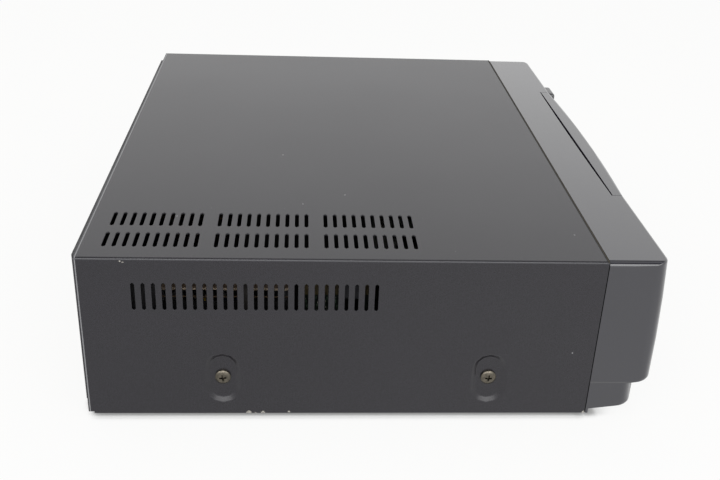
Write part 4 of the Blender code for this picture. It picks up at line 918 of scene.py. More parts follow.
class CopiesTree:
    """Geometry Nodes that put one copy of a prototype at each point, turned as the point says."""

    def __init__(self, name: str = "placed_copies") -> None:
        """Build the tree.

        Args:
            name: The tree's name.
        """
        self.tree = bpy.data.node_groups.new(name, "GeometryNodeTree")
        face = self.tree.interface
        face.new_socket("Geometry", in_out="OUTPUT", socket_type="NodeSocketGeometry")
        face.new_socket("Points", in_out="INPUT", socket_type="NodeSocketGeometry")
        self.inputs = {
            label: face.new_socket(label, in_out="INPUT", socket_type=kind).identifier
            for label, kind in (("Prototype", "NodeSocketObject"), ("Scale", "NodeSocketFloat"),
                                ("Finish", "NodeSocketMaterial"))}
        nodes, links = self.tree.nodes, self.tree.links
        given = nodes.new("NodeGroupInput").outputs
        shape = nodes.new("GeometryNodeObjectInfo")
        turn = nodes.new("GeometryNodeInputNamedAttribute")
        turn.data_type = "FLOAT_VECTOR"
        turn.inputs["Name"].default_value = "turn"
        copies = nodes.new("GeometryNodeInstanceOnPoints")
        real = nodes.new("GeometryNodeRealizeInstances")
        coat = nodes.new("GeometryNodeSetMaterial")
        result = nodes.new("NodeGroupOutput")
        links.new(given["Points"], copies.inputs["Points"])
        links.new(given["Prototype"], shape.inputs["Object"])
        links.new(shape.outputs["Geometry"], copies.inputs["Instance"])
        links.new(turn.outputs["Attribute"], copies.inputs["Rotation"])
        links.new(given["Scale"], copies.inputs["Scale"])
        links.new(copies.outputs[0], real.inputs[0])
        links.new(real.outputs[0], coat.inputs["Geometry"])
        links.new(given["Finish"], coat.inputs["Material"])
        links.new(coat.outputs[0], result.inputs[0])

    def spread(self, name: str, prototype: bmesh.types.BMesh, finish: Finish,
               places: Iterable[tuple[Point, Point]], scale: float = 1.0) -> bpy.types.Object:
        """Copy a form to many places, as one plain piece.

        Args:
            name: The piece's name.
            prototype: The form, about the origin.
            finish: What it is made of.
            places: A point and a turn in radians for each copy.
            scale: The copies' size.

        Returns:
            The new piece.
        """
        form = finished(name + "_form", prototype, finish)
        places = list(places)
        points = bpy.data.meshes.new(name + "_points")
        points.from_pydata([place for place, _ in places], [], [])
        turns = points.attributes.new("turn", "FLOAT_VECTOR", "POINT")
        turns.data.foreach_set("vector", [value for _, turn in places for value in turn])
        holder = bpy.data.objects.new(name + "_points", points)
        bpy.context.scene.collection.objects.link(holder)
        modifier = holder.modifiers.new("copies", "NODES")
        modifier.node_group = self.tree
        modifier[self.inputs["Prototype"]] = form
        modifier[self.inputs["Scale"]] = scale
        modifier[self.inputs["Finish"]] = surface_of(finish)
        return settle(name, holder, finish, form)


class CoilTree:
    """Geometry Nodes that stack rings along an axis, such as a thread or ribs."""

    def __init__(self, name: str = "stacked_rings") -> None:
        """Build the tree.

        Args:
            name: The tree's name.
        """
        self.tree = bpy.data.node_groups.new(name, "GeometryNodeTree")
        face = self.tree.interface
        face.new_socket("Geometry", in_out="OUTPUT", socket_type="NodeSocketGeometry")
        face.new_socket("Points", in_out="INPUT", socket_type="NodeSocketGeometry")
        self.inputs = {
            label: face.new_socket(label, in_out="INPUT", socket_type=kind).identifier
            for label, kind in (("Radius", "NodeSocketFloat"), ("Wire", "NodeSocketFloat"),
                                ("Count", "NodeSocketInt"), ("Pitch", "NodeSocketFloat"),
                                ("Finish", "NodeSocketMaterial"))}
        nodes, links = self.tree.nodes, self.tree.links
        given = nodes.new("NodeGroupInput").outputs
        loop = nodes.new("GeometryNodeCurvePrimitiveCircle")
        loop.inputs["Resolution"].default_value = 32
        section = nodes.new("GeometryNodeCurvePrimitiveCircle")
        section.inputs["Resolution"].default_value = 6
        tube = nodes.new("GeometryNodeCurveToMesh")
        step = nodes.new("ShaderNodeCombineXYZ")
        line = nodes.new("GeometryNodeMeshLine")
        turn = nodes.new("GeometryNodeInputNamedAttribute")
        turn.data_type = "FLOAT_VECTOR"
        turn.inputs["Name"].default_value = "turn"
        stack = nodes.new("GeometryNodeInstanceOnPoints")
        copies = nodes.new("GeometryNodeInstanceOnPoints")
        real = nodes.new("GeometryNodeRealizeInstances")
        coat = nodes.new("GeometryNodeSetMaterial")
        result = nodes.new("NodeGroupOutput")
        links.new(given["Radius"], loop.inputs["Radius"])
        links.new(given["Wire"], section.inputs["Radius"])
        links.new(loop.outputs[0], tube.inputs["Curve"])
        links.new(section.outputs[0], tube.inputs["Profile Curve"])
        links.new(given["Pitch"], step.inputs["Z"])
        links.new(given["Count"], line.inputs["Count"])
        links.new(step.outputs[0], line.inputs["Offset"])
        links.new(line.outputs[0], stack.inputs["Points"])
        links.new(tube.outputs[0], stack.inputs["Instance"])
        links.new(given["Points"], copies.inputs["Points"])
        links.new(stack.outputs[0], copies.inputs["Instance"])
        links.new(turn.outputs["Attribute"], copies.inputs["Rotation"])
        links.new(copies.outputs[0], real.inputs[0])
        links.new(real.outputs[0], coat.inputs["Geometry"])
        links.new(given["Finish"], coat.inputs["Material"])
        links.new(coat.outputs[0], result.inputs[0])

    def stack(self, name: str, finish: Finish, places: Sequence[tuple[Point, Point]],
              radius: float, wire: float, count: int, pitch: float) -> bpy.types.Object:
        """Stack rings from each place, as one plain piece.

        Args:
            name: The piece's name.
            finish: What it is made of.
            places: A point and a turn in radians for each stack.
            radius: The rings' radius.
            wire: The radius of their section.
            count: How many rings in a stack.
            pitch: The step from ring to ring, along the turned Z.

        Returns:
            The new piece.
        """
        points = bpy.data.meshes.new(name + "_points")
        points.from_pydata([place for place, _ in places], [], [])
        turns = points.attributes.new("turn", "FLOAT_VECTOR", "POINT")
        turns.data.foreach_set("vector", [value for _, turn in places for value in turn])
        holder = bpy.data.objects.new(name + "_points", points)
        bpy.context.scene.collection.objects.link(holder)
        modifier = holder.modifiers.new("rings", "NODES")
        modifier.node_group = self.tree
        for label, value in (("Radius", radius), ("Wire", wire), ("Count", count),
                             ("Pitch", pitch), ("Finish", surface_of(finish))):
            modifier[self.inputs[label]] = value
        return settle(name, holder, finish)


def settle(name: str, holder: bpy.types.Object, finish: Finish,
           *helpers: bpy.types.Object) -> bpy.types.Object:
    """Turn what Geometry Nodes made into a plain piece, and remove what made it.

    Args:
        name: The piece's name.
        holder: The object with the modifier.
        finish: What the piece is made of.
        *helpers: Other objects that are no longer needed.

    Returns:
        The plain piece.
    """
    graph = bpy.context.evaluated_depsgraph_get()
    made = bpy.data.meshes.new_from_object(holder.evaluated_get(graph))
    for old in (holder, *helpers):
        bpy.data.objects.remove(old)
    mesh = bmesh.new()
    mesh.from_mesh(made)
    bpy.data.meshes.remove(made)
    return finished(name, mesh, finish)


# Sub-assemblies


@dataclass
class Screws:
    """Cross-headed screws: four in the cover's sides, and those of the rear and underneath."""

    head: float = 0.0048
    height: float = 0.0026
    crown: float = 0.0009
    cross: float = 0.0056
    cross_width: float = 0.0014
    cross_depth: float = 0.0020
    shank: float = 0.0019
    length: float = 0.006
    sides: int = 32
    cross_taper: float = 0.45
    rear_scale: float = 0.72
    seat: float = 0.0001
    rear_inset: float = 0.008
    rear_lift: float = 0.004
    rear_end: float = 0.016
    rear_middle: tuple[float, float] = (-0.060, 0.048)
    under_half: float = 0.185
    under_rows: tuple[float, float, float] = (-0.128, 0.020, 0.160)
    spins: dict[str, float] = field(default_factory=lambda: {"front": 0.05, "rear": -0.12})

    def form(self) -> bmesh.types.BMesh:
        """One screw, standing on the origin with its head up.

        Returns:
            The screw's mesh.
        """
        mesh = bmesh.new()
        top, edge = self.height, self.height - self.crown
        profile = [(0, top), (self.head * 0.35, top - self.crown * 0.06),
                   (self.head * 0.70, top - self.crown * 0.32), (self.head * 0.92, edge),
                   (self.head, edge - self.crown * 0.35), (self.head, 0.0), (self.shank, 0.0),
                   (self.shank, -self.length), (0, -self.length)]
        lathe(mesh, profile, self.sides)
        bmesh.ops.recalc_face_normals(mesh, faces=mesh.faces)
        cutter = bmesh.new()
        reach, half = self.cross / 2, self.cross_width / 2
        low = top - self.cross_depth
        outline = [(half, half), (half, reach), (-half, reach), (-half, half), (-reach, half),
                   (-reach, -half), (-half, -half), (-half, -reach), (half, -reach),
                   (half, -half), (reach, -half), (reach, half)]
        tapered = [(x * self.cross_taper, y * self.cross_taper) for x, y in outline]
        rings = [[cutter.verts.new((x, y, low)) for x, y in tapered],
                 [cutter.verts.new((x, y, top + self.crown)) for x, y in outline]]
        for i in range(len(outline)):
            j = (i + 1) % len(outline)
            cutter.faces.new((rings[0][i], rings[0][j], rings[1][j], rings[1][i]))
        cutter.faces.new(list(reversed(rings[0])))
        cutter.faces.new(rings[1])
        bmesh.ops.recalc_face_normals(cutter, faces=cutter.faces)
        return carve(mesh, cutter)

    def build(self, copies: CopiesTree) -> None:
        """Make the screws and put them in their places.

        Args:
            copies: The tree that places copies.
        """
        places = []
        for side in Side:
            for end in ("front", "rear"):
                low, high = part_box(f"side_screw_{side.name.lower()}_{end}")
                middle = (low + high) / 2
                x = (high.x - self.height - self.seat if side is Side.RIGHT
                     else low.x + self.height + self.seat)
                spin = Matrix.Rotation(self.spins[end], 3, "X")
                turn = (spin @ Matrix.Rotation(side.value * math.pi / 2, 3, "Y")).to_euler()
                places.append(((x, middle.y, middle.z), tuple(turn)))
        piece = copies.spread("cover_side_screws", self.form(), BRONZED, places)
        place_on(piece, "root", "screw_bronze", *(
            f"side_screw_{side.name.lower()}_{end}" for side in Side for end in ("front", "rear")))
        low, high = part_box("rear_panel")
        spots = [(x, high.y - self.seat, z)
                 for z in (low.z + self.rear_inset + self.rear_lift, high.z - self.rear_inset)
                 for x in (low.x + self.rear_end, *self.rear_middle, high.x - self.rear_end)]
        piece = copies.spread("rear_panel_screws", self.form(), BRONZED,
                              [(spot, (-math.pi / 2, 0.0, 0.0)) for spot in spots],
                              self.rear_scale)
        place_on(piece, "root", "screw_bronze")
        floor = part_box("bottom_chassis")[0].z
        spots = [(side * self.under_half, y, floor + self.seat) for side in (-1, 1)
                 for y in self.under_rows]
        piece = copies.spread("underside_screws", self.form(), BRIGHT,
                              [(spot, (math.pi, 0.0, 0.0)) for spot in spots], self.rear_scale)
        place_on(piece, "root", "screw_bronze")


def carve(mesh: bmesh.types.BMesh, cutter: bmesh.types.BMesh) -> bmesh.types.BMesh:
    """Cut one closed form out of another.

    Args:
        mesh: What is cut.
        cutter: What is taken away.

    Returns:
        The cut form.
    """
    solids = []
    for name, source in (("carved", mesh), ("cutter", cutter)):
        data = bpy.data.meshes.new(name)
        source.to_mesh(data)
        source.free()
        solid = bpy.data.objects.new(name, data)
        bpy.context.scene.collection.objects.link(solid)
        solids.append(solid)
    boolean = solids[0].modifiers.new("cut", "BOOLEAN")
    boolean.operation = "DIFFERENCE"
    boolean.solver = "EXACT"
    boolean.object = solids[1]
    graph = bpy.context.evaluated_depsgraph_get()
    made = bpy.data.meshes.new_from_object(solids[0].evaluated_get(graph))
    for solid in solids:
        bpy.data.objects.remove(solid)
    result = bmesh.new()
    result.from_mesh(made)
    bpy.data.meshes.remove(made)
    return result


@dataclass
class Cover:
    """The painted cover: its softened edges, straight slopes and rolled slots."""

    edge: float = 0.00018
    roll: float = 0.0005
    roll_depth: float = 0.00033
    slope_old: tuple[float, float] = (0.00036, 0.00264)
    slope_new: tuple[float, float] = (0.00074, 0.00226)
    tolerance: float = 0.00006
    slope_top: float = 0.055
    side_slots: tuple[Point, Point] = ((-0.2126, -0.0080, 0.0750), (-0.2120, 0.1450, 0.0995))
    top_slots: tuple[Point, Point] = ((-0.2000, -0.0320, 0.1125), (-0.1480, 0.1640, 0.1131))

    def straighten_slopes(self, mesh: bmesh.types.BMesh) -> None:
        """Draw the screw recesses' slopes straighter, where the pressed sheet runs evenly.

        Args:
            mesh: The cover's mesh in the making.
        """
        for vert in mesh.verts:
            depth = COVER_HIGH.x - abs(vert.co.x)
            for old, new in zip(self.slope_old, self.slope_new):
                if abs(depth - old) < self.tolerance and vert.co.z < self.slope_top:
                    vert.co.x = math.copysign(COVER_HIGH.x - new, vert.co.x)

    def roll_slots(self, mesh: bmesh.types.BMesh) -> None:
        """Roll the outer face of the sheet down into each cooling slot.

        Args:
            mesh: The cover's mesh in the making.
        """
        def within(point: Vector, area: tuple[Point, Point]) -> bool:
            """Whether a point lies in a box."""
            return all(low < value < high for low, value, high in zip(area[0], point, area[1]))

        edges = [edge for edge in mesh.edges if edge.is_manifold
                 and edge.calc_face_angle(0.0) > SMOOTH_ANGLE
                 and any(all(within(vert.co, area) for vert in edge.verts)
                         for area in (self.side_slots, self.top_slots))]
        bmesh.ops.bevel(mesh, geom=edges, offset=self.roll, segments=1, profile=0.5,
                        affect="EDGES", clamp_overlap=True)
        lift = self.roll - self.roll_depth
        for vert in mesh.verts:
            if abs(vert.co.x - COVER_LOW.x - self.roll) < MERGE_DISTANCE:
                vert.co.x -= lift
            elif abs(COVER_HIGH.z - self.roll - vert.co.z) < MERGE_DISTANCE:
                vert.co.z += lift

    def build(self) -> None:
        """Dress the cover."""
        mesh = merged_copy("top_cover")
        self.straighten_slopes(mesh)
        self.roll_slots(mesh)
        piece = weighed(finished("cover_shell", softened(mesh, self.edge), PAINT))
        place_on(piece, "root", "black_paint", "top_cover")


@dataclass
class FrontFace:
    """The bezel, door, eject button and the marks on the buttons."""

    mark: float = 0.0042
    raised: float = 0.00005
    sunk: float = 0.0002
    seam_shade_start: float = -0.14252
    gap_stations: int = 7
    gap_half: float = 0.1134
    bezel_bow: float = 0.0008
    door_bow: float = 0.0003
    gap_depth: float = 0.0014
    door_gap: float = 0.0004
    gap_rounding: float = 0.0007
    broad_face: float = 0.00002

    def outlines(self, sign: Sign) -> list[list[tuple[float, float]]]:
        """The outlines of a mark, about its middle, in the button's face.

        Args:
            sign: Which mark.

        Returns:
            One or more outlines, anticlockwise seen from the front.
        """
        half = self.mark / 2
        bar = half * 0.34
        right = [(-half, -half), (half, 0.0), (-half, half)]
        left = [(half, half), (-half, 0.0), (half, -half)]

        def moved(outline: list[tuple[float, float]], dx: float, dy: float = 0.0,
                  scale: float = 1.0) -> list[tuple[float, float]]:
            """An outline scaled and moved."""
            return [(x * scale + dx, y * scale + dy) for x, y in outline]

        square = [(-half, -half), (half, -half), (half, half), (-half, half)]
        post = [(-bar, -half), (bar, -half), (bar, half), (-bar, half)]
        lid = [(-half, -bar), (half, -bar), (half, bar), (-half, bar)]
        up = [(-half, -half), (half, -half), (0.0, half)]
        down = [(half, half), (-half, half), (0.0, -half)]
        shapes = {
            Sign.STOP: [moved(square, 0, 0, 0.8)],
            Sign.PAUSE: [moved(post, -half * 0.55), moved(post, half * 0.55)],
            Sign.RECORD: [circle(half * 0.85, 24)],
            Sign.REWIND: [moved(left, -half * 0.8, 0, 0.8), moved(left, half * 0.8, 0, 0.8)],
            Sign.PLAY: [right],
            Sign.FAST_FORWARD: [moved(right, -half * 0.8, 0, 0.8),
                                moved(right, half * 0.8, 0, 0.8)],
            Sign.DOWN: [moved(down, 0, 0, 0.8)],
            Sign.UP: [moved(up, 0, 0, 0.8)],
            Sign.POWER: [moved(post, 0, half * 0.7, 0.62)],
            Sign.EJECT: [moved(up, 0, half * 0.35, 0.85), moved(lid, 0, -half * 0.95, 0.85)],
        }
        return shapes[sign]

    def marks(self) -> None:
        """Put each button's mark on its face, riding with the button."""
        for sign in Sign:
            low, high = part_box(sign.value)
            spot = Matrix(((1, 0, 0, (low.x + high.x) / 2), (0, 0, 1, low.y),
                           (0, 1, 0, (low.z + high.z) / 2), (0, 0, 0, 1)))
            mesh = bmesh.new()
            for outline in self.outlines(sign):
                slab(mesh, outline, -self.raised, self.sunk, spot)
            if sign is Sign.POWER:
                ring_form(mesh, [(self.mark * 0.42, -self.raised), (self.mark * 0.54, -self.raised),
                                 (self.mark * 0.54, self.sunk), (self.mark * 0.42, self.sunk)],
                          28, spot)
            piece = finished(sign.value.replace("_button", "_mark"), mesh, MARKING)
            place_on(piece, sign.value, "black_gloss")

    def round_gap(self, mesh: bmesh.types.BMesh, rear: float) -> None:
        """Round the bezel's edge behind the door.

        Args:
            mesh: The bezel's mesh in the making.
            rear: The Y of the door's rear edge.
        """
        high = max(vert.co.z for vert in mesh.verts)
        low, reach = rear - 2 * self.door_gap, rear + self.bezel_bow + self.door_gap
        edges = [edge for edge in mesh.edges if edge.is_manifold
                 and edge.calc_face_angle(0.0) > SMOOTH_ANGLE
                 and all(vert.co.z > high - MERGE_DISTANCE and low < vert.co.y < reach
                         and abs(vert.co.x) < self.gap_half + MERGE_DISTANCE
                         for vert in edge.verts)]
        bmesh.ops.bevel(mesh, geom=edges, offset=self.gap_rounding, segments=3, profile=0.5,
                        affect="EDGES", clamp_overlap=True)

    def bow_gap(self, mesh: bmesh.types.BMesh, edge: float, bow: float) -> None:
        """Bow one side of the gap behind the door, so that the gap is a crescent.

        Args:
            mesh: The bezel's or the door's mesh in the making.
            edge: The Y of the edge that is bowed.
            bow: How far its middle moves along Y.
        """
        for i in range(-self.gap_stations, self.gap_stations + 1):
            x = self.gap_half * i / self.gap_stations
            bmesh.ops.bisect_plane(mesh, geom=[*mesh.verts, *mesh.edges, *mesh.faces],
                                   dist=MERGE_DISTANCE, plane_no=(1, 0, 0), plane_co=(x, 0, 0))
        high = max(vert.co.z for vert in mesh.verts)
        for vert in mesh.verts:
            level = vert.co.z > high - self.gap_depth and abs(vert.co.y - edge) < self.gap_depth
            if level and abs(vert.co.x) < self.gap_half + MERGE_DISTANCE:
                vert.co.y += bow * (1 - (vert.co.x / self.gap_half) ** 2)

    def paint_seam_shade(self, piece: bpy.types.Object) -> None:
        """Paint the bezel's faces inside the seam and behind it a dull black, as painted shade.

        Args:
            piece: The bezel's shell.
        """
        mesh = piece.data
        mesh.materials.append(surface_of(SEAM_SHADE))
        for face in mesh.polygons:
            if min(mesh.vertices[i].co.y for i in face.vertices) > self.seam_shade_start:
                face.material_index = 1

    def build(self) -> None:
        """Dress the front of the recorder."""
        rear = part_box("cassette_door")[1].y
        mesh = merged_copy("front_bezel")
        self.bow_gap(mesh, rear + self.door_gap, self.bezel_bow)
        self.round_gap(mesh, rear)
        piece = finished("front_bezel_shell", mesh, LEDGE_HIGHLIGHT_GLOSS)
        for face in piece.data.polygons:
            face.use_smooth = face.area < self.broad_face or abs(face.normal.z) < 0.9999
        piece = weighed(piece)
        self.paint_seam_shade(piece)
        place_on(piece, "root", "black_gloss", "front_bezel")
        mesh = merged_copy("cassette_door")
        self.bow_gap(mesh, rear, -self.door_bow)
        piece = weighed(finished("cassette_door_shell", mesh, GLOSS))
        place_on(piece, "cassette_door", "black_gloss", "cassette_door")
        piece = turned_copy("eject_button", "eject_button_shell", CLOSE_GLOSS)
        place_on(piece, "eject_button", "black_gloss", "eject_button")
        self.marks()


@dataclass
class Display:
    """The unlit figures of the clock behind the smoked window."""

    digit_width: float = 0.0052
    digit_height: float = 0.0088
    stroke: float = 0.0009
    pitch: float = 0.0085
    groups: tuple[float, ...] = (-0.034, 0.0, 0.034)
    proud: float = 0.00008

    def digit(self) -> bmesh.types.BMesh:
        """One seven-bar figure with all its bars, standing in X and Z.

        Returns:
            The figure's mesh.
        """
        mesh = bmesh.new()
        wide, tall, line = self.digit_width / 2, self.digit_height / 2, self.stroke / 2
        flat = [(-wide + line * 1.4, z) for z in (-tall, 0.0, tall)]
        for x, z in flat:
            bar = [(x, z), (x + line, z - line), (-x - line, z - line), (-x, z),
                   (-x - line, z + line), (x + line, z + line)]
            slab(mesh, bar, -self.proud, self.proud, STANDING)
        for side in (-1, 1):
            for low, high in ((-tall, 0.0), (0.0, tall)):
                x = side * wide
                bar = [(x, low + line * 1.4), (x + line, low + line * 2.4),
                       (x + line, high - line * 2.4), (x, high - line * 1.4),
                       (x - line, high - line * 2.4), (x - line, low + line * 2.4)]
                slab(mesh, bar, -self.proud, self.proud, STANDING)
        return mesh

    def build(self, copies: CopiesTree) -> None:
        """Put the figures on the tube's face.

        Args:
            copies: The tree that places copies.
        """
        low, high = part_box("display_tube")
        z = (low.z + high.z) / 2
        places = [((group + side * self.pitch / 2, low.y, z), (0.0, 0.0, 0.0))
                  for group in self.groups for side in (-1, 1)]
        piece = copies.spread("clock_figures", self.digit(), GHOST, places)
        place_on(piece, "root", "tube_glass")


STANDING = Matrix(((1, 0, 0, 0), (0, 0, 1, 0), (0, 1, 0, 0), (0, 0, 0, 1)))
REARWARD = (-math.pi / 2, 0.0, 0.0)


@dataclass
class RearSockets:
    """The phono sockets, the aerial sockets and the mains inlet's pins."""

    shell: float = 0.0044
    lining: float = 0.0033
    bore: float = 0.0017
    collar: float = 0.0058
    collar_reach: float = 0.0012
    pitch: float = 0.018
    first: float = 0.009
    rows: tuple[float, float] = (0.026, 0.044)
    aerial: float = 0.0047
    core: float = 0.0033
    contact: float = 0.0007
    face: float = 0.0005
    core_foot: float = 0.0011
    thread_wire: float = 0.00035
    thread_pitch: float = 0.0009
    thread_count: int = 7
    pin: float = 0.0013
    pin_length: float = 0.0085
    set_back: float = 0.0012
    soft: float = 0.0003
    tip_gap: float = 0.0002
    aerial_offsets: tuple[float, float] = (0.014, 0.044)
    aerial_level: float = 0.039
    thread_start: float = 0.0012
    pin_half_pitch: float = 0.0043
    pin_depth: float = 0.012
    pin_point: float = 0.0006
    pin_foot: float = 0.0002
    sides: int = 40

    def shell_form(self, reach: float) -> bmesh.types.BMesh:
        """A plated shell and the collar at its foot.

        Args:
            reach: From the rear panel's face to the shell's tip.

        Returns:
            The shell's mesh.
        """
        mesh = bmesh.new()
        ring_form(mesh, [(self.lining, reach), (self.shell - self.soft, reach),
                         (self.shell, reach - self.soft), (self.shell, self.collar_reach),
                         (self.collar, self.collar_reach), (self.collar, SKIN),
                         (self.lining, SKIN)], self.sides)
        return mesh

    def lining_form(self, reach: float) -> bmesh.types.BMesh:
        """The coloured lining in a shell's mouth, with the hole for the plug's pin.

        Args:
            reach: From the rear panel's face to the shell's tip.

        Returns:
            The lining's mesh.
        """
        mesh = bmesh.new()
        face = reach + self.tip_gap
        ring_form(mesh, [(self.bore, face), (self.lining, face), (self.lining, SKIN),
                         (self.bore, SKIN)], self.sides)
        return mesh

    def build(self, copies: CopiesTree, coils: CoilTree) -> None:
        """Dress the sockets.

        Args:
            copies: The tree that places copies.
            coils: The tree that stacks rings.
        """
        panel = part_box("rear_panel")[1].y
        low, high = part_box("jack_block")
        reach = high.y - panel - self.tip_gap
        columns = [low.x + self.first + i * self.pitch for i in range(3)]
        every = [((x, panel, z), REARWARD) for x in columns for z in self.rows]
        self.jack_block(high.y)
        piece = copies.spread("phono_shells", self.shell_form(reach), BRIGHT, every)
        place_on(piece, "root", "aluminium")
        for x, label, finish in zip(columns, ("yellow", "white", "red"), (YELLOW, NATURAL, RED)):
            piece = copies.spread(f"phono_{label}_linings", self.lining_form(reach), finish,
                                  [((x, panel, z), REARWARD) for z in self.rows])
            place_on(piece, "root", "white_moulding")
        self.aerials(copies, coils)
        self.inlet_pins(copies)

    def jack_block(self, tip: float) -> None:
        """The block behind the phono sockets, set back inside their shells.

        Args:
            tip: The Y of the block's outer end.
        """
        mesh = merged_copy("jack_block")
        for vert in mesh.verts:
            if vert.co.y > tip - MERGE_DISTANCE:
                vert.co.y = tip - self.set_back
        piece = finished("jack_block_shell", mesh, MOULDED)
        place_on(piece, "root", "black_moulding", "jack_block")

    def aerials(self, copies: CopiesTree, coils: CoilTree) -> None:
        """The threads and the insulating linings of the two aerial sockets.

        Args:
            copies: The tree that places copies.
            coils: The tree that stacks rings.
        """
        low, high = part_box("tuner_box")
        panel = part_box("rear_panel")[1].y
        centres = [low.x + offset for offset in self.aerial_offsets]
        start = panel + self.thread_start
        places = [((x, start, self.aerial_level), REARWARD) for x in centres]
        piece = coils.stack("aerial_threads", BRIGHT, places, self.aerial, self.thread_wire,
                            self.thread_count, self.thread_pitch)
        place_on(piece, "root", "aluminium")
        mesh = bmesh.new()
        ring_form(mesh, [(self.contact, -self.face), (self.core, -self.face),
                         (self.core, -self.core_foot), (self.contact, -self.core_foot)],
                  self.sides)
        piece = copies.spread("aerial_linings", mesh, NATURAL,
                              [((x, high.y, self.aerial_level), REARWARD) for x in centres])
        place_on(piece, "root", "white_moulding")

    def inlet_pins(self, copies: CopiesTree) -> None:
        """The two pins in the mains inlet.

        Args:
            copies: The tree that places copies.
        """
        low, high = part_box("mains_inlet")
        middle = (low + high) / 2
        mesh = bmesh.new()
        top = self.pin_length + self.pin_point
        lathe(mesh, [(0, top), (self.pin * 0.6, top), (self.pin, top - self.pin_point),
                     (self.pin, self.pin_foot), (0, self.pin_foot)], 20)
        back = high.y - self.pin_depth
        places = [((middle.x + side * self.pin_half_pitch, back, middle.z), REARWARD)
                  for side in (-1, 1)]
        piece = copies.spread("inlet_pins", mesh, BRIGHT, places)
        place_on(piece, "root", "aluminium")


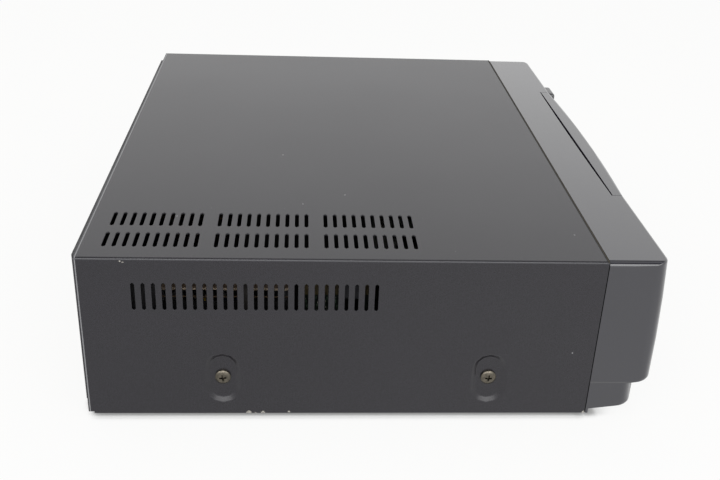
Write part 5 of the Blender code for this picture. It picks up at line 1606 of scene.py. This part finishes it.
@dataclass
class PowerSupply:
    """What shows through the cooling slots: wound parts, small parts, a standing board, and
    near-black strips and sheets put in as painted shade.
    """

    seed: int = 41
    board_lift: float = 0.0001
    resistor_count: int = 34
    disc_count: int = 22
    can_count: int = 16
    board: float = 0.0016
    riser_across: tuple[float, float] = (-0.190, -0.1505)
    riser_along: tuple[float, float] = (0.0485, 0.1292)
    riser_top: float = 0.0808
    rail: tuple[float, float] = (0.0069, 0.0059)
    # Where the near-black strips of painted shade stand behind the side slots.
    strip_across: tuple[float, float] = (-0.2046, -0.2036)
    strips: tuple[tuple[float, float, float, float], ...] = (
        (0.1252, 0.1432, 0.0148, 0.1000), (0.0716, 0.0768, 0.0148, 0.1000),
        (0.0052, 0.0172, 0.0822, 0.1119))
    edge_board: tuple[Point, Point] = ((-0.1876, 0.0162, 0.0148), (-0.1860, 0.0410, 0.0860))
    edge_post: tuple[Point, Point] = ((-0.1876, -0.0016, 0.0148), (-0.1860, 0.0018, 0.0860))
    # A near-black sheet further in, as painted shade.
    screen: tuple[Point, Point] = ((-0.1228, -0.0060, 0.0148), (-0.1222, 0.0800, 0.1060))
    openings: tuple[float, ...] = (0.0379, 0.0317, 0.0254, 0.0191)
    lowest_part: float = 0.0646
    part_pitch: float = 0.0029
    margin: float = 0.006
    deck_corner: tuple[float, float] = (0.125, 0.088)
    core_step: float = 0.008
    winding_step: float = 0.006
    rail_inset: tuple[float, float] = (0.0002, 0.0012)
    post_inset: float = 0.003
    post_shift: float = 0.001
    middle_post: float = 0.0985
    bracket_across: tuple[float, float] = (0.0013, 0.0025)
    bracket_width: float = 0.002
    # A near-black sheet of painted shade under the riser's near edge.
    sheet_across: tuple[float, float] = (0.0032, 0.0026)
    sheet_overhang: float = 0.001
    sheet_drop: float = 0.0074
    sheet_rounding: float = 0.0001
    rounding: float = 0.0002
    jitter: float = 0.0008
    parts_in_opening: int = 4
    taken: list[tuple[Point, Point]] = field(default_factory=list)

    def resistor(self) -> bmesh.types.BMesh:
        """A lacquered resistor lying on its board, along X.

        Returns:
            Its mesh.
        """
        mesh = bmesh.new()
        turn = Matrix.Translation((0, 0, 0.0016)) @ Euler((0, math.pi / 2, 0)).to_matrix().to_4x4()
        lathe(mesh, [(0, 0.0035), (0.0010, 0.0034), (0.0013, 0.0028), (0.0011, 0.0020),
                     (0.0011, -0.0020), (0.0013, -0.0028), (0.0010, -0.0034), (0, -0.0035)],
              8, turn)
        return mesh

    def disc(self) -> bmesh.types.BMesh:
        """A ceramic disc standing on its board.

        Returns:
            Its mesh.
        """
        mesh = bmesh.new()
        turn = Matrix.Translation((0, 0, 0.0042)) @ Euler((math.pi / 2, 0, 0)).to_matrix().to_4x4()
        lathe(mesh, [(0, 0.0011), (0.0026, 0.0009), (0.0036, 0.0), (0.0026, -0.0009),
                     (0, -0.0011)], 12, turn)
        return mesh

    def can(self) -> bmesh.types.BMesh:
        """A small electrolytic capacitor standing on its board.

        Returns:
            Its mesh.
        """
        mesh = bmesh.new()
        lathe(mesh, [(0, 0.0108), (0.0024, 0.0108), (0.0027, 0.0112), (0.0031, 0.0106),
                     (0.0031, 0.0012), (0.0028, 0.0008), (0.0031, 0.0002), (0, 0.0002)], 14)
        return mesh

    def scattered(self, rng: random.Random, count: int) -> list[tuple[Point, Point]]:
        """Random free places on the boards, square to their edges.

        Args:
            rng: The seeded random numbers.
            count: How many places.

        Returns:
            A point and a turn for each.
        """
        margin = self.margin
        keep_out = [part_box(name) for name in ("transformer", "heat_sink", "capacitor",
                                              "small_capacitor", "mains_inlet", "jack_block",
                                              "tuner_box", "deck_plate")]
        boards = [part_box("power_board"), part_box("main_board")]
        places: list[tuple[Point, Point]] = []
        while len(places) < count:
            low, high = boards[0] if rng.random() < 0.6 else boards[1]
            x = rng.uniform(low.x + margin, high.x - margin)
            y = rng.uniform(low.y + margin, high.y - margin)
            if low.x > 0 and x < self.deck_corner[0] and y < self.deck_corner[1]:
                continue
            clear = all(not (a.x - margin < x < b.x + margin and a.y - margin < y < b.y + margin)
                        for a, b in keep_out)
            apart = all(abs(x - spot[0]) + abs(y - spot[1]) > margin for spot, _ in self.taken)
            if clear and apart:
                turn = (0.0, 0.0, rng.choice((0.0, math.pi / 2)))
                places.append(((x, y, high.z + self.board_lift), turn))
                self.taken.append(places[-1])
        return places

    def build(self, copies: CopiesTree) -> None:
        """Dress the boards and the wound parts.

        Args:
            copies: The tree that places copies.
        """
        rng = random.Random(self.seed)
        for name, form, finish, count in (
                ("board_resistors", self.resistor(), RESISTOR, self.resistor_count),
                ("board_discs", self.disc(), CERAMIC, self.disc_count),
                ("board_cans", self.can(), SLEEVE, self.can_count)):
            piece = copies.spread(name, form, finish, self.scattered(rng, count))
            place_on(piece, "root", "board_brown" if "can" not in name else "sleeve_black")
        self.wound_parts()
        self.riser()
        self.paint_shade_strips()
        self.standing_board(copies)

    def wound_parts(self) -> None:
        """The transformer's laminated core and its taped winding."""
        low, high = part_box("transformer")
        core = bmesh.new()
        brick(core, (low.x, low.y + self.core_step, low.z),
              (high.x, high.y - self.core_step, high.z), 0.0012)
        piece = finished("transformer_core", core, LAMINATIONS)
        place_on(piece, "root", "copper_yellow", "transformer")
        winding = bmesh.new()
        brick(winding, (low.x + self.core_step, low.y, low.z + self.winding_step),
              (high.x - self.core_step, high.y, high.z - self.winding_step), 0.004, 4)
        piece = finished("transformer_winding", winding, TAPE)
        place_on(piece, "root", "copper_yellow", "transformer")

    def riser(self) -> None:
        """A brown board over the wound parts, on posts, with a rail under its near edge, a painted
        highlight on that edge, and near-black sheets of painted shade under it and further in.
        """
        (x0, x1), (y0, y1), top = self.riser_across, self.riser_along, self.riser_top
        mesh = bmesh.new()
        brick(mesh, (x0, y0, top - self.board), (x1, y1, top), self.rounding, 1)
        low, high = (top - drop for drop in self.rail)
        near, far = (x0 + inset for inset in self.rail_inset)
        brick(mesh, (near, y0, low), (far, y1, high), self.rounding, 1)
        piece = finished("riser_board", mesh, RISER)
        place_on(piece, "root", "board_brown")
        mesh = bmesh.new()
        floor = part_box("power_board")[1].z + self.board_lift
        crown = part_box("transformer")[1].z + self.board_lift
        inset, shift = self.post_inset, self.post_shift
        for x, y, foot in ((x0 + inset, y0 + inset, floor), (x0 + inset, self.middle_post, floor),
                           (x1 - inset - shift, y0 + inset, floor),
                           (x0 + inset + shift, y1 - inset, crown),
                           (x1 - inset, y1 - inset, crown)):
            spot = Matrix.Translation((x, y, foot))
            height = top - self.board - foot
            lathe(mesh, [(0, height), (0.0016, height), (0.0019, height - 0.0004),
                         (0.0019, 0.0004), (0.0016, 0.0), (0, 0.0)], 12, spot)
        near, far = (x0 + inset for inset in self.bracket_across)
        for y in (y0, (y0 + y1) / 2, y1 - self.bracket_width):
            brick(mesh, (near, y, low), (far, y + self.bracket_width, top - self.board),
                  self.rounding, 1)
        piece = finished("riser_posts", mesh, MOULDED)
        place_on(piece, "root", "black_moulding")
        # Near-black sheets of painted shade under the riser's near edge and further in.
        mesh = bmesh.new()
        near, far = (x0 - offset for offset in self.sheet_across)
        brick(mesh, (near, y0 - self.sheet_overhang, floor),
              (far, y1 + self.sheet_overhang, top - self.sheet_drop), self.sheet_rounding, 1)
        brick(mesh, *self.screen, self.sheet_rounding, 1)
        piece = finished("insulating_sheets", mesh, SHADE_SHEET_FINISH)
        place_on(piece, "root", "black_moulding")

    def paint_shade_strips(self) -> None:
        """Dark upright strips close behind the side slots, put there as painted shade."""
        mesh = bmesh.new()
        for near, far, foot, top in self.strips:
            brick(mesh, (self.strip_across[0], near, foot), (self.strip_across[1], far, top),
                  self.rounding, 1)
        piece = finished("slot_shields", mesh, SHADE_STRIP_FINISH)
        place_on(piece, "root", "black_moulding")

    def standing_board(self, copies: CopiesTree) -> None:
        """A board and a post on edge behind the forward slots, painted near black below as shade
        and brown above as lit laminate, with small parts on the board.

        Args:
            copies: The tree that places copies.
        """
        mesh = bmesh.new()
        brick(mesh, *self.edge_board, self.rounding, 1)
        brick(mesh, *self.edge_post, self.rounding, 1)
        # The board's finish paints its lower part as shade and its upper band as lit laminate.
        piece = finished("standing_board", mesh, STANDING_BOARD_LIGHT_SHADE)
        place_on(piece, "root", "board_brown")
        rng = random.Random(self.seed + 1)
        face = self.edge_board[0][0]
        spots = [((face, y + rng.uniform(-self.jitter, self.jitter),
                   self.lowest_part + self.part_pitch * i + rng.uniform(-self.jitter, self.jitter)),
                  (0.0, -math.pi / 2, 0.0))
                 for y in self.openings for i in range(self.parts_in_opening)]
        rng.shuffle(spots)
        piece = copies.spread("standing_board_greens", self.resistor(), GREEN, spots[::2], 0.24)
        place_on(piece, "root", "board_brown")
        piece = copies.spread("standing_board_joints", self.disc(), SOLDER, spots[1::2], 0.16)
        place_on(piece, "root", "board_brown")


@dataclass
class Underside:
    """Pressed beads of the chassis."""

    bead_length: float = 0.120
    bead_width: float = 0.006
    bead_depth: float = 0.0009
    bead_pitch: float = 0.030
    bead_count: int = 6
    bead_offset: float = 0.02
    bead_end_steps: int = 8
    bead_section: tuple[tuple[float, float], ...] = (
        (0.0, 0.0), (0.0008, 0.5), (0.0018, 0.9), (0.0026, 1.0))

    def bead(self) -> bmesh.types.BMesh:
        """One long bead with round ends, hanging below the origin.

        Returns:
            The bead's mesh.
        """
        mesh = bmesh.new()
        half, reach = self.bead_width / 2, self.bead_length / 2
        rings = []
        for inset, drop in self.bead_section:
            ring = []
            for side in (1, -1):
                for i in range(self.bead_end_steps + 1):
                    a = -math.pi / 2 + math.pi * i / self.bead_end_steps
                    ring.append(mesh.verts.new((side * (reach - half + (half - inset)
                                                        * math.cos(a)),
                                                side * (half - inset) * math.sin(a),
                                                -drop * self.bead_depth)))
            rings.append(ring)
        for ring, following in zip(rings, rings[1:]):
            for i in range(len(ring)):
                j = (i + 1) % len(ring)
                mesh.faces.new((ring[i], ring[j], following[j], following[i]))
        mesh.faces.new(rings[0])
        mesh.faces.new(rings[-1])
        return mesh

    def build(self, copies: CopiesTree) -> None:
        """Put the beads under the chassis.

        Args:
            copies: The tree that places copies.
        """
        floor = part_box("bottom_chassis")[0].z
        start = -self.bead_pitch * (self.bead_count - 1) / 2 + self.bead_offset
        places = [((self.bead_offset, start + i * self.bead_pitch, floor), (0.0, 0.0, 0.0))
                  for i in range(self.bead_count)]
        piece = copies.spread("chassis_beads", self.bead(), ZINC, places)
        place_on(piece, "root", "zinc")


@dataclass
class Mechanism:
    """What rides on the moving parts of the deck and the carriage."""

    spring_thickness: float = 0.0004
    spring_width: float = 0.008
    spring_centre: float = 0.0910
    spring_drop: float = 0.0011
    spring_path: tuple[tuple[float, float], ...] = (
        (-0.030, 0.0), (-0.020, -0.0006), (-0.010, -0.0009), (-0.004, -0.0004))
    screw_radius: float = 0.0016
    screw_circle: float = 0.015
    screw_count: int = 4
    drum_lean_degrees: float = 5.9
    drum_foot: Point = (0.0, 0.0295, 0.0505)
    drum_height: float = 0.0363
    sunk: float = 0.001
    reel_ring_lift: float = 0.0040
    reel_ring_radius: float = 0.0165
    reel_ring_wire: float = 0.0005

    def drum_top(self) -> None:
        """The hub and the screws on the upper drum."""
        lean = math.radians(self.drum_lean_degrees)
        upwards = Vector((0, math.sin(lean), math.cos(lean)))
        base = Vector(self.drum_foot) + self.drum_height * upwards
        turn = Matrix.Translation(base) @ Euler((-lean, 0, 0)).to_matrix().to_4x4()
        mesh = bmesh.new()
        lathe(mesh, [(0, 0.0009), (0.0055, 0.0009), (0.0062, 0.0004), (0.0062, -self.sunk),
                     (0, -self.sunk)], 28, turn)
        for i in range(self.screw_count):
            a = math.pi / 4 + i * 2 * math.pi / self.screw_count
            spot = turn @ Matrix.Translation((self.screw_circle * math.cos(a),
                                              self.screw_circle * math.sin(a), 0))
            lathe(mesh, [(0, 0.0006), (self.screw_radius, 0.0004), (self.screw_radius, -self.sunk),
                         (0, -self.sunk)], 14, spot)
        piece = finished("drum_hub", mesh, BRONZED)
        place_on(piece, "upper_drum", "screw_bronze")

    def holder_springs(self) -> None:
        """Leaf springs under the holder's top lips, which press the cassette down."""
        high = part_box("cassette_holder")[1]
        wide, top = self.spring_width / 2, high.z - self.spring_drop
        section = ((-wide, 0), (wide, 0), (wide, -self.spring_thickness),
                   (-wide, -self.spring_thickness))
        mesh = bmesh.new()
        for side in (-1, 1):
            x = side * self.spring_centre
            rings = [[mesh.verts.new((x + dx, high.y + y, top + z + dz)) for dx, dz in section]
                     for y, z in self.spring_path]
            for ring, following in zip(rings, rings[1:]):
                for i in range(len(section)):
                    j = (i + 1) % len(section)
                    mesh.faces.new((ring[i], ring[j], following[j], following[i]))
            mesh.faces.new(rings[0])
            mesh.faces.new(rings[-1])
        piece = finished("holder_springs", mesh, BRIGHT)
        place_on(piece, "holder", "zinc")

    def reel_rings(self, coils: CoilTree) -> None:
        """A rim ring on each reel table.

        Args:
            coils: The tree that stacks rings.
        """
        for name in ("supply_reel", "take_up_reel"):
            low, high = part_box(name + "_table")
            middle = (low + high) / 2
            spot = (middle.x, middle.y, low.z + self.reel_ring_lift)
            piece = coils.stack(name + "_ribs", NATURAL, [(spot, (0.0, 0.0, 0.0))],
                                self.reel_ring_radius, self.reel_ring_wire, 1, 0.001)
            place_on(piece, name, "white_moulding")

    def build(self, coils: CoilTree) -> None:
        """Dress the moving parts.

        Args:
            coils: The tree that stacks rings.
        """
        self.drum_top()
        self.holder_springs()
        self.reel_rings(coils)


def dress_nodes() -> None:
    """Give every CAD node the finish of its slot."""
    slots = {entry["node"]: entry["material_slot"] for entry in frame["record"]["subparts"]}
    special = {"heat_sink": FINNED}
    for name, node in frame["nodes"].items():
        finish = special.get(name, SLOT_FINISHES[slots[name]])
        node.data.materials.clear()
        node.data.materials.append(surface_of(finish))
        for face in node.data.polygons:
            face.material_index = 0


def seen_rays(nodes: bpy.types.Nodes, links: bpy.types.NodeLinks) -> bpy.types.NodeSocket:
    """An output that is 1 for camera, glossy and transmission rays, and 0 for the rest.

    Args:
        nodes: The nodes of a material or the world.
        links: Their links.

    Returns:
        The output.
    """
    path = nodes.new("ShaderNodeLightPath")
    seen = path.outputs["Is Camera Ray"]
    for label in ("Is Glossy Ray", "Is Transmission Ray"):
        either = nodes.new("ShaderNodeMath")
        either.operation = "MAXIMUM"
        links.new(seen, either.inputs[0])
        links.new(path.outputs[label], either.inputs[1])
        seen = either.outputs[0]
    return seen


@dataclass
class Studio:
    """The floor, the soft lights and the camera."""

    place: Point = (-0.7116, 0.0427, 0.3769)
    turn_degrees: Point = (63.3631, -2.1327, -92.9440)
    focal_pixels: float = 966.2
    photo_width: int = 720
    sensor: float = 36.0
    floor_colour: Colour = (0.90, 0.90, 0.90)
    floor_glow: Colour = (1.0, 1.0, 0.995)
    floor_lift: float = 0.90
    mirror_rear: float = 0.74
    mirror_front: float = 0.88
    shadow_reach: float = 0.0085
    shadow_floor: float = 0.25
    floor_reach: float = 6.0
    world: float = 0.58
    ceiling: float = 0.25
    ceiling_start: float = 0.60
    ceiling_full: float = 0.84
    mirror_fade: tuple[float, float] = (-0.15, 0.18)
    shadow_fade: tuple[float, float] = (0.42, 0.86)
    shadow_samples: int = 16

    def camera(self) -> None:
        """The camera, where the photograph's was."""
        data = bpy.data.cameras.new("photo_camera")
        data.sensor_width = self.sensor
        data.lens = self.focal_pixels / self.photo_width * self.sensor
        data.clip_start = 0.01
        camera = bpy.data.objects.new("photo_camera", data)
        camera.location = self.place
        camera.rotation_euler = Euler([math.radians(angle) for angle in self.turn_degrees])
        bpy.context.scene.collection.objects.link(camera)
        bpy.context.scene.camera = camera

    def floor(self) -> None:
        """A pale floor, with a painted contact shadow near the object and a painted darkening
        towards the rear in reflections.
        """
        mesh = bpy.data.meshes.new("floor")
        reach = self.floor_reach
        mesh.from_pydata([(-reach, -reach, 0), (reach, -reach, 0), (reach, reach, 0),
                          (-reach, reach, 0)], [], [(0, 1, 2, 3)])
        floor = bpy.data.objects.new("floor", mesh)
        bpy.context.scene.collection.objects.link(floor)
        graph = Graph("pale_floor")
        graph.feed(Base_Color=self.floor_colour, Roughness=0.9, Specular_IOR_Level=0.0)
        glow = graph.nodes.new("ShaderNodeEmission")
        glow.inputs["Color"].default_value = (*self.floor_glow, 1.0)
        # Painted contact shadow: the floor's glow is dimmed by ambient occlusion near the object.
        nook = graph.nodes.new("ShaderNodeAmbientOcclusion")
        nook.samples = self.shadow_samples
        nook.inputs["Distance"].default_value = self.shadow_reach
        shade = graph.fade(nook.outputs["AO"], *self.shadow_fade, self.shadow_floor, 1.0)
        # Painted reflection: glossy rays see the floor's glow dimmer towards the rear.
        mirrored = graph.nodes.new("ShaderNodeLightPath").outputs["Is Glossy Ray"]
        level = graph.fade(graph.axes()[1], *self.mirror_fade, self.mirror_front,
                           self.mirror_rear)
        level = graph.fade(mirrored, 0.0, 1.0, 1.0, level)
        graph.plug(graph.math("MULTIPLY", shade, level), glow.inputs["Strength"])
        both = graph.nodes.new("ShaderNodeMixShader")
        result = graph.nodes["Material Output"]
        seen = seen_rays(graph.nodes, graph.links)
        graph.links.new(graph.math("MULTIPLY", seen, self.floor_lift), both.inputs[0])
        graph.links.new(graph.surface.outputs[0], both.inputs[1])
        graph.links.new(glow.outputs[0], both.inputs[2])
        graph.links.new(both.outputs[0], result.inputs["Surface"])
        mesh.materials.append(graph.material)

    def lamp(self, name: str, place: Point, target: Point, size: tuple[float, float],
             power: float) -> None:
        """One large soft lamp.

        Args:
            name: Its name.
            place: Where it hangs.
            target: What it points at.
            size: Its width and height.
            power: Its power in watts.
        """
        data = bpy.data.lights.new(name, "AREA")
        data.shape = "RECTANGLE"
        data.size, data.size_y = size
        data.energy = power
        lamp = bpy.data.objects.new(name, data)
        lamp.location = place
        aim = Vector(target) - Vector(place)
        lamp.rotation_euler = aim.to_track_quat("-Z", "Y").to_euler()
        bpy.context.scene.collection.objects.link(lamp)

    def surroundings(self) -> None:
        """A white room: plain light on the object, and white to the camera and in reflections."""
        world = bpy.data.worlds.new("white_room")
        world.use_nodes = True
        bpy.context.scene.world = world
        nodes, links = world.node_tree.nodes, world.node_tree.links
        background = nodes["Background"]
        background.inputs["Color"].default_value = (1.0, 1.0, 1.0, 1.0)
        seen = seen_rays(nodes, links)
        height = nodes.new("ShaderNodeSeparateXYZ")
        links.new(nodes.new("ShaderNodeTexCoord").outputs["Generated"], height.inputs[0])
        above = nodes.new("ShaderNodeMapRange")
        above.interpolation_type = "SMOOTHSTEP"
        for label, value in (("From Min", self.ceiling_start), ("From Max", self.ceiling_full),
                             ("To Min", 1.0), ("To Max", self.ceiling)):
            above.inputs[label].default_value = value
        links.new(height.outputs["Z"], above.inputs["Value"])
        level = nodes.new("ShaderNodeMapRange")
        level.inputs["To Min"].default_value = self.world
        links.new(above.outputs[0], level.inputs["To Max"])
        links.new(seen, level.inputs["Value"])
        links.new(level.outputs[0], background.inputs["Strength"])

    def build(self) -> None:
        """Set the stage."""
        self.camera()
        self.floor()
        self.surroundings()
        self.lamp("ceiling_softbox", (0.10, -0.10, 1.7), (0.0, 0.0, 0.05), (1.4, 1.4), 3.0)
        self.lamp("key_softbox", (-1.75, -0.02, 1.20), (-0.20, -0.02, 0.08), (5.0, 1.0), 33.0)
        bpy.context.scene.view_settings.view_transform = "Standard"


def corners(bounds: Sequence[Sequence[float]]) -> list[list[float]]:
    """A box's two corners as plain lists of numbers."""
    return [[float(value) for value in corner] for corner in bounds]


def main() -> None:
    """Build the looks in order."""
    logging.basicConfig(level=logging.INFO, format="%(message)s")
    studio = Studio()
    studio.build()
    copies, coils = CopiesTree(), CoilTree()
    dress_nodes()
    Screws().build(copies)
    Cover().build()
    FrontFace().build()
    Display().build(copies)
    RearSockets().build(copies, coils)
    PowerSupply().build(copies)
    Underside().build(copies)
    Mechanism().build(coils)


if __name__ == "__main__":
    main()
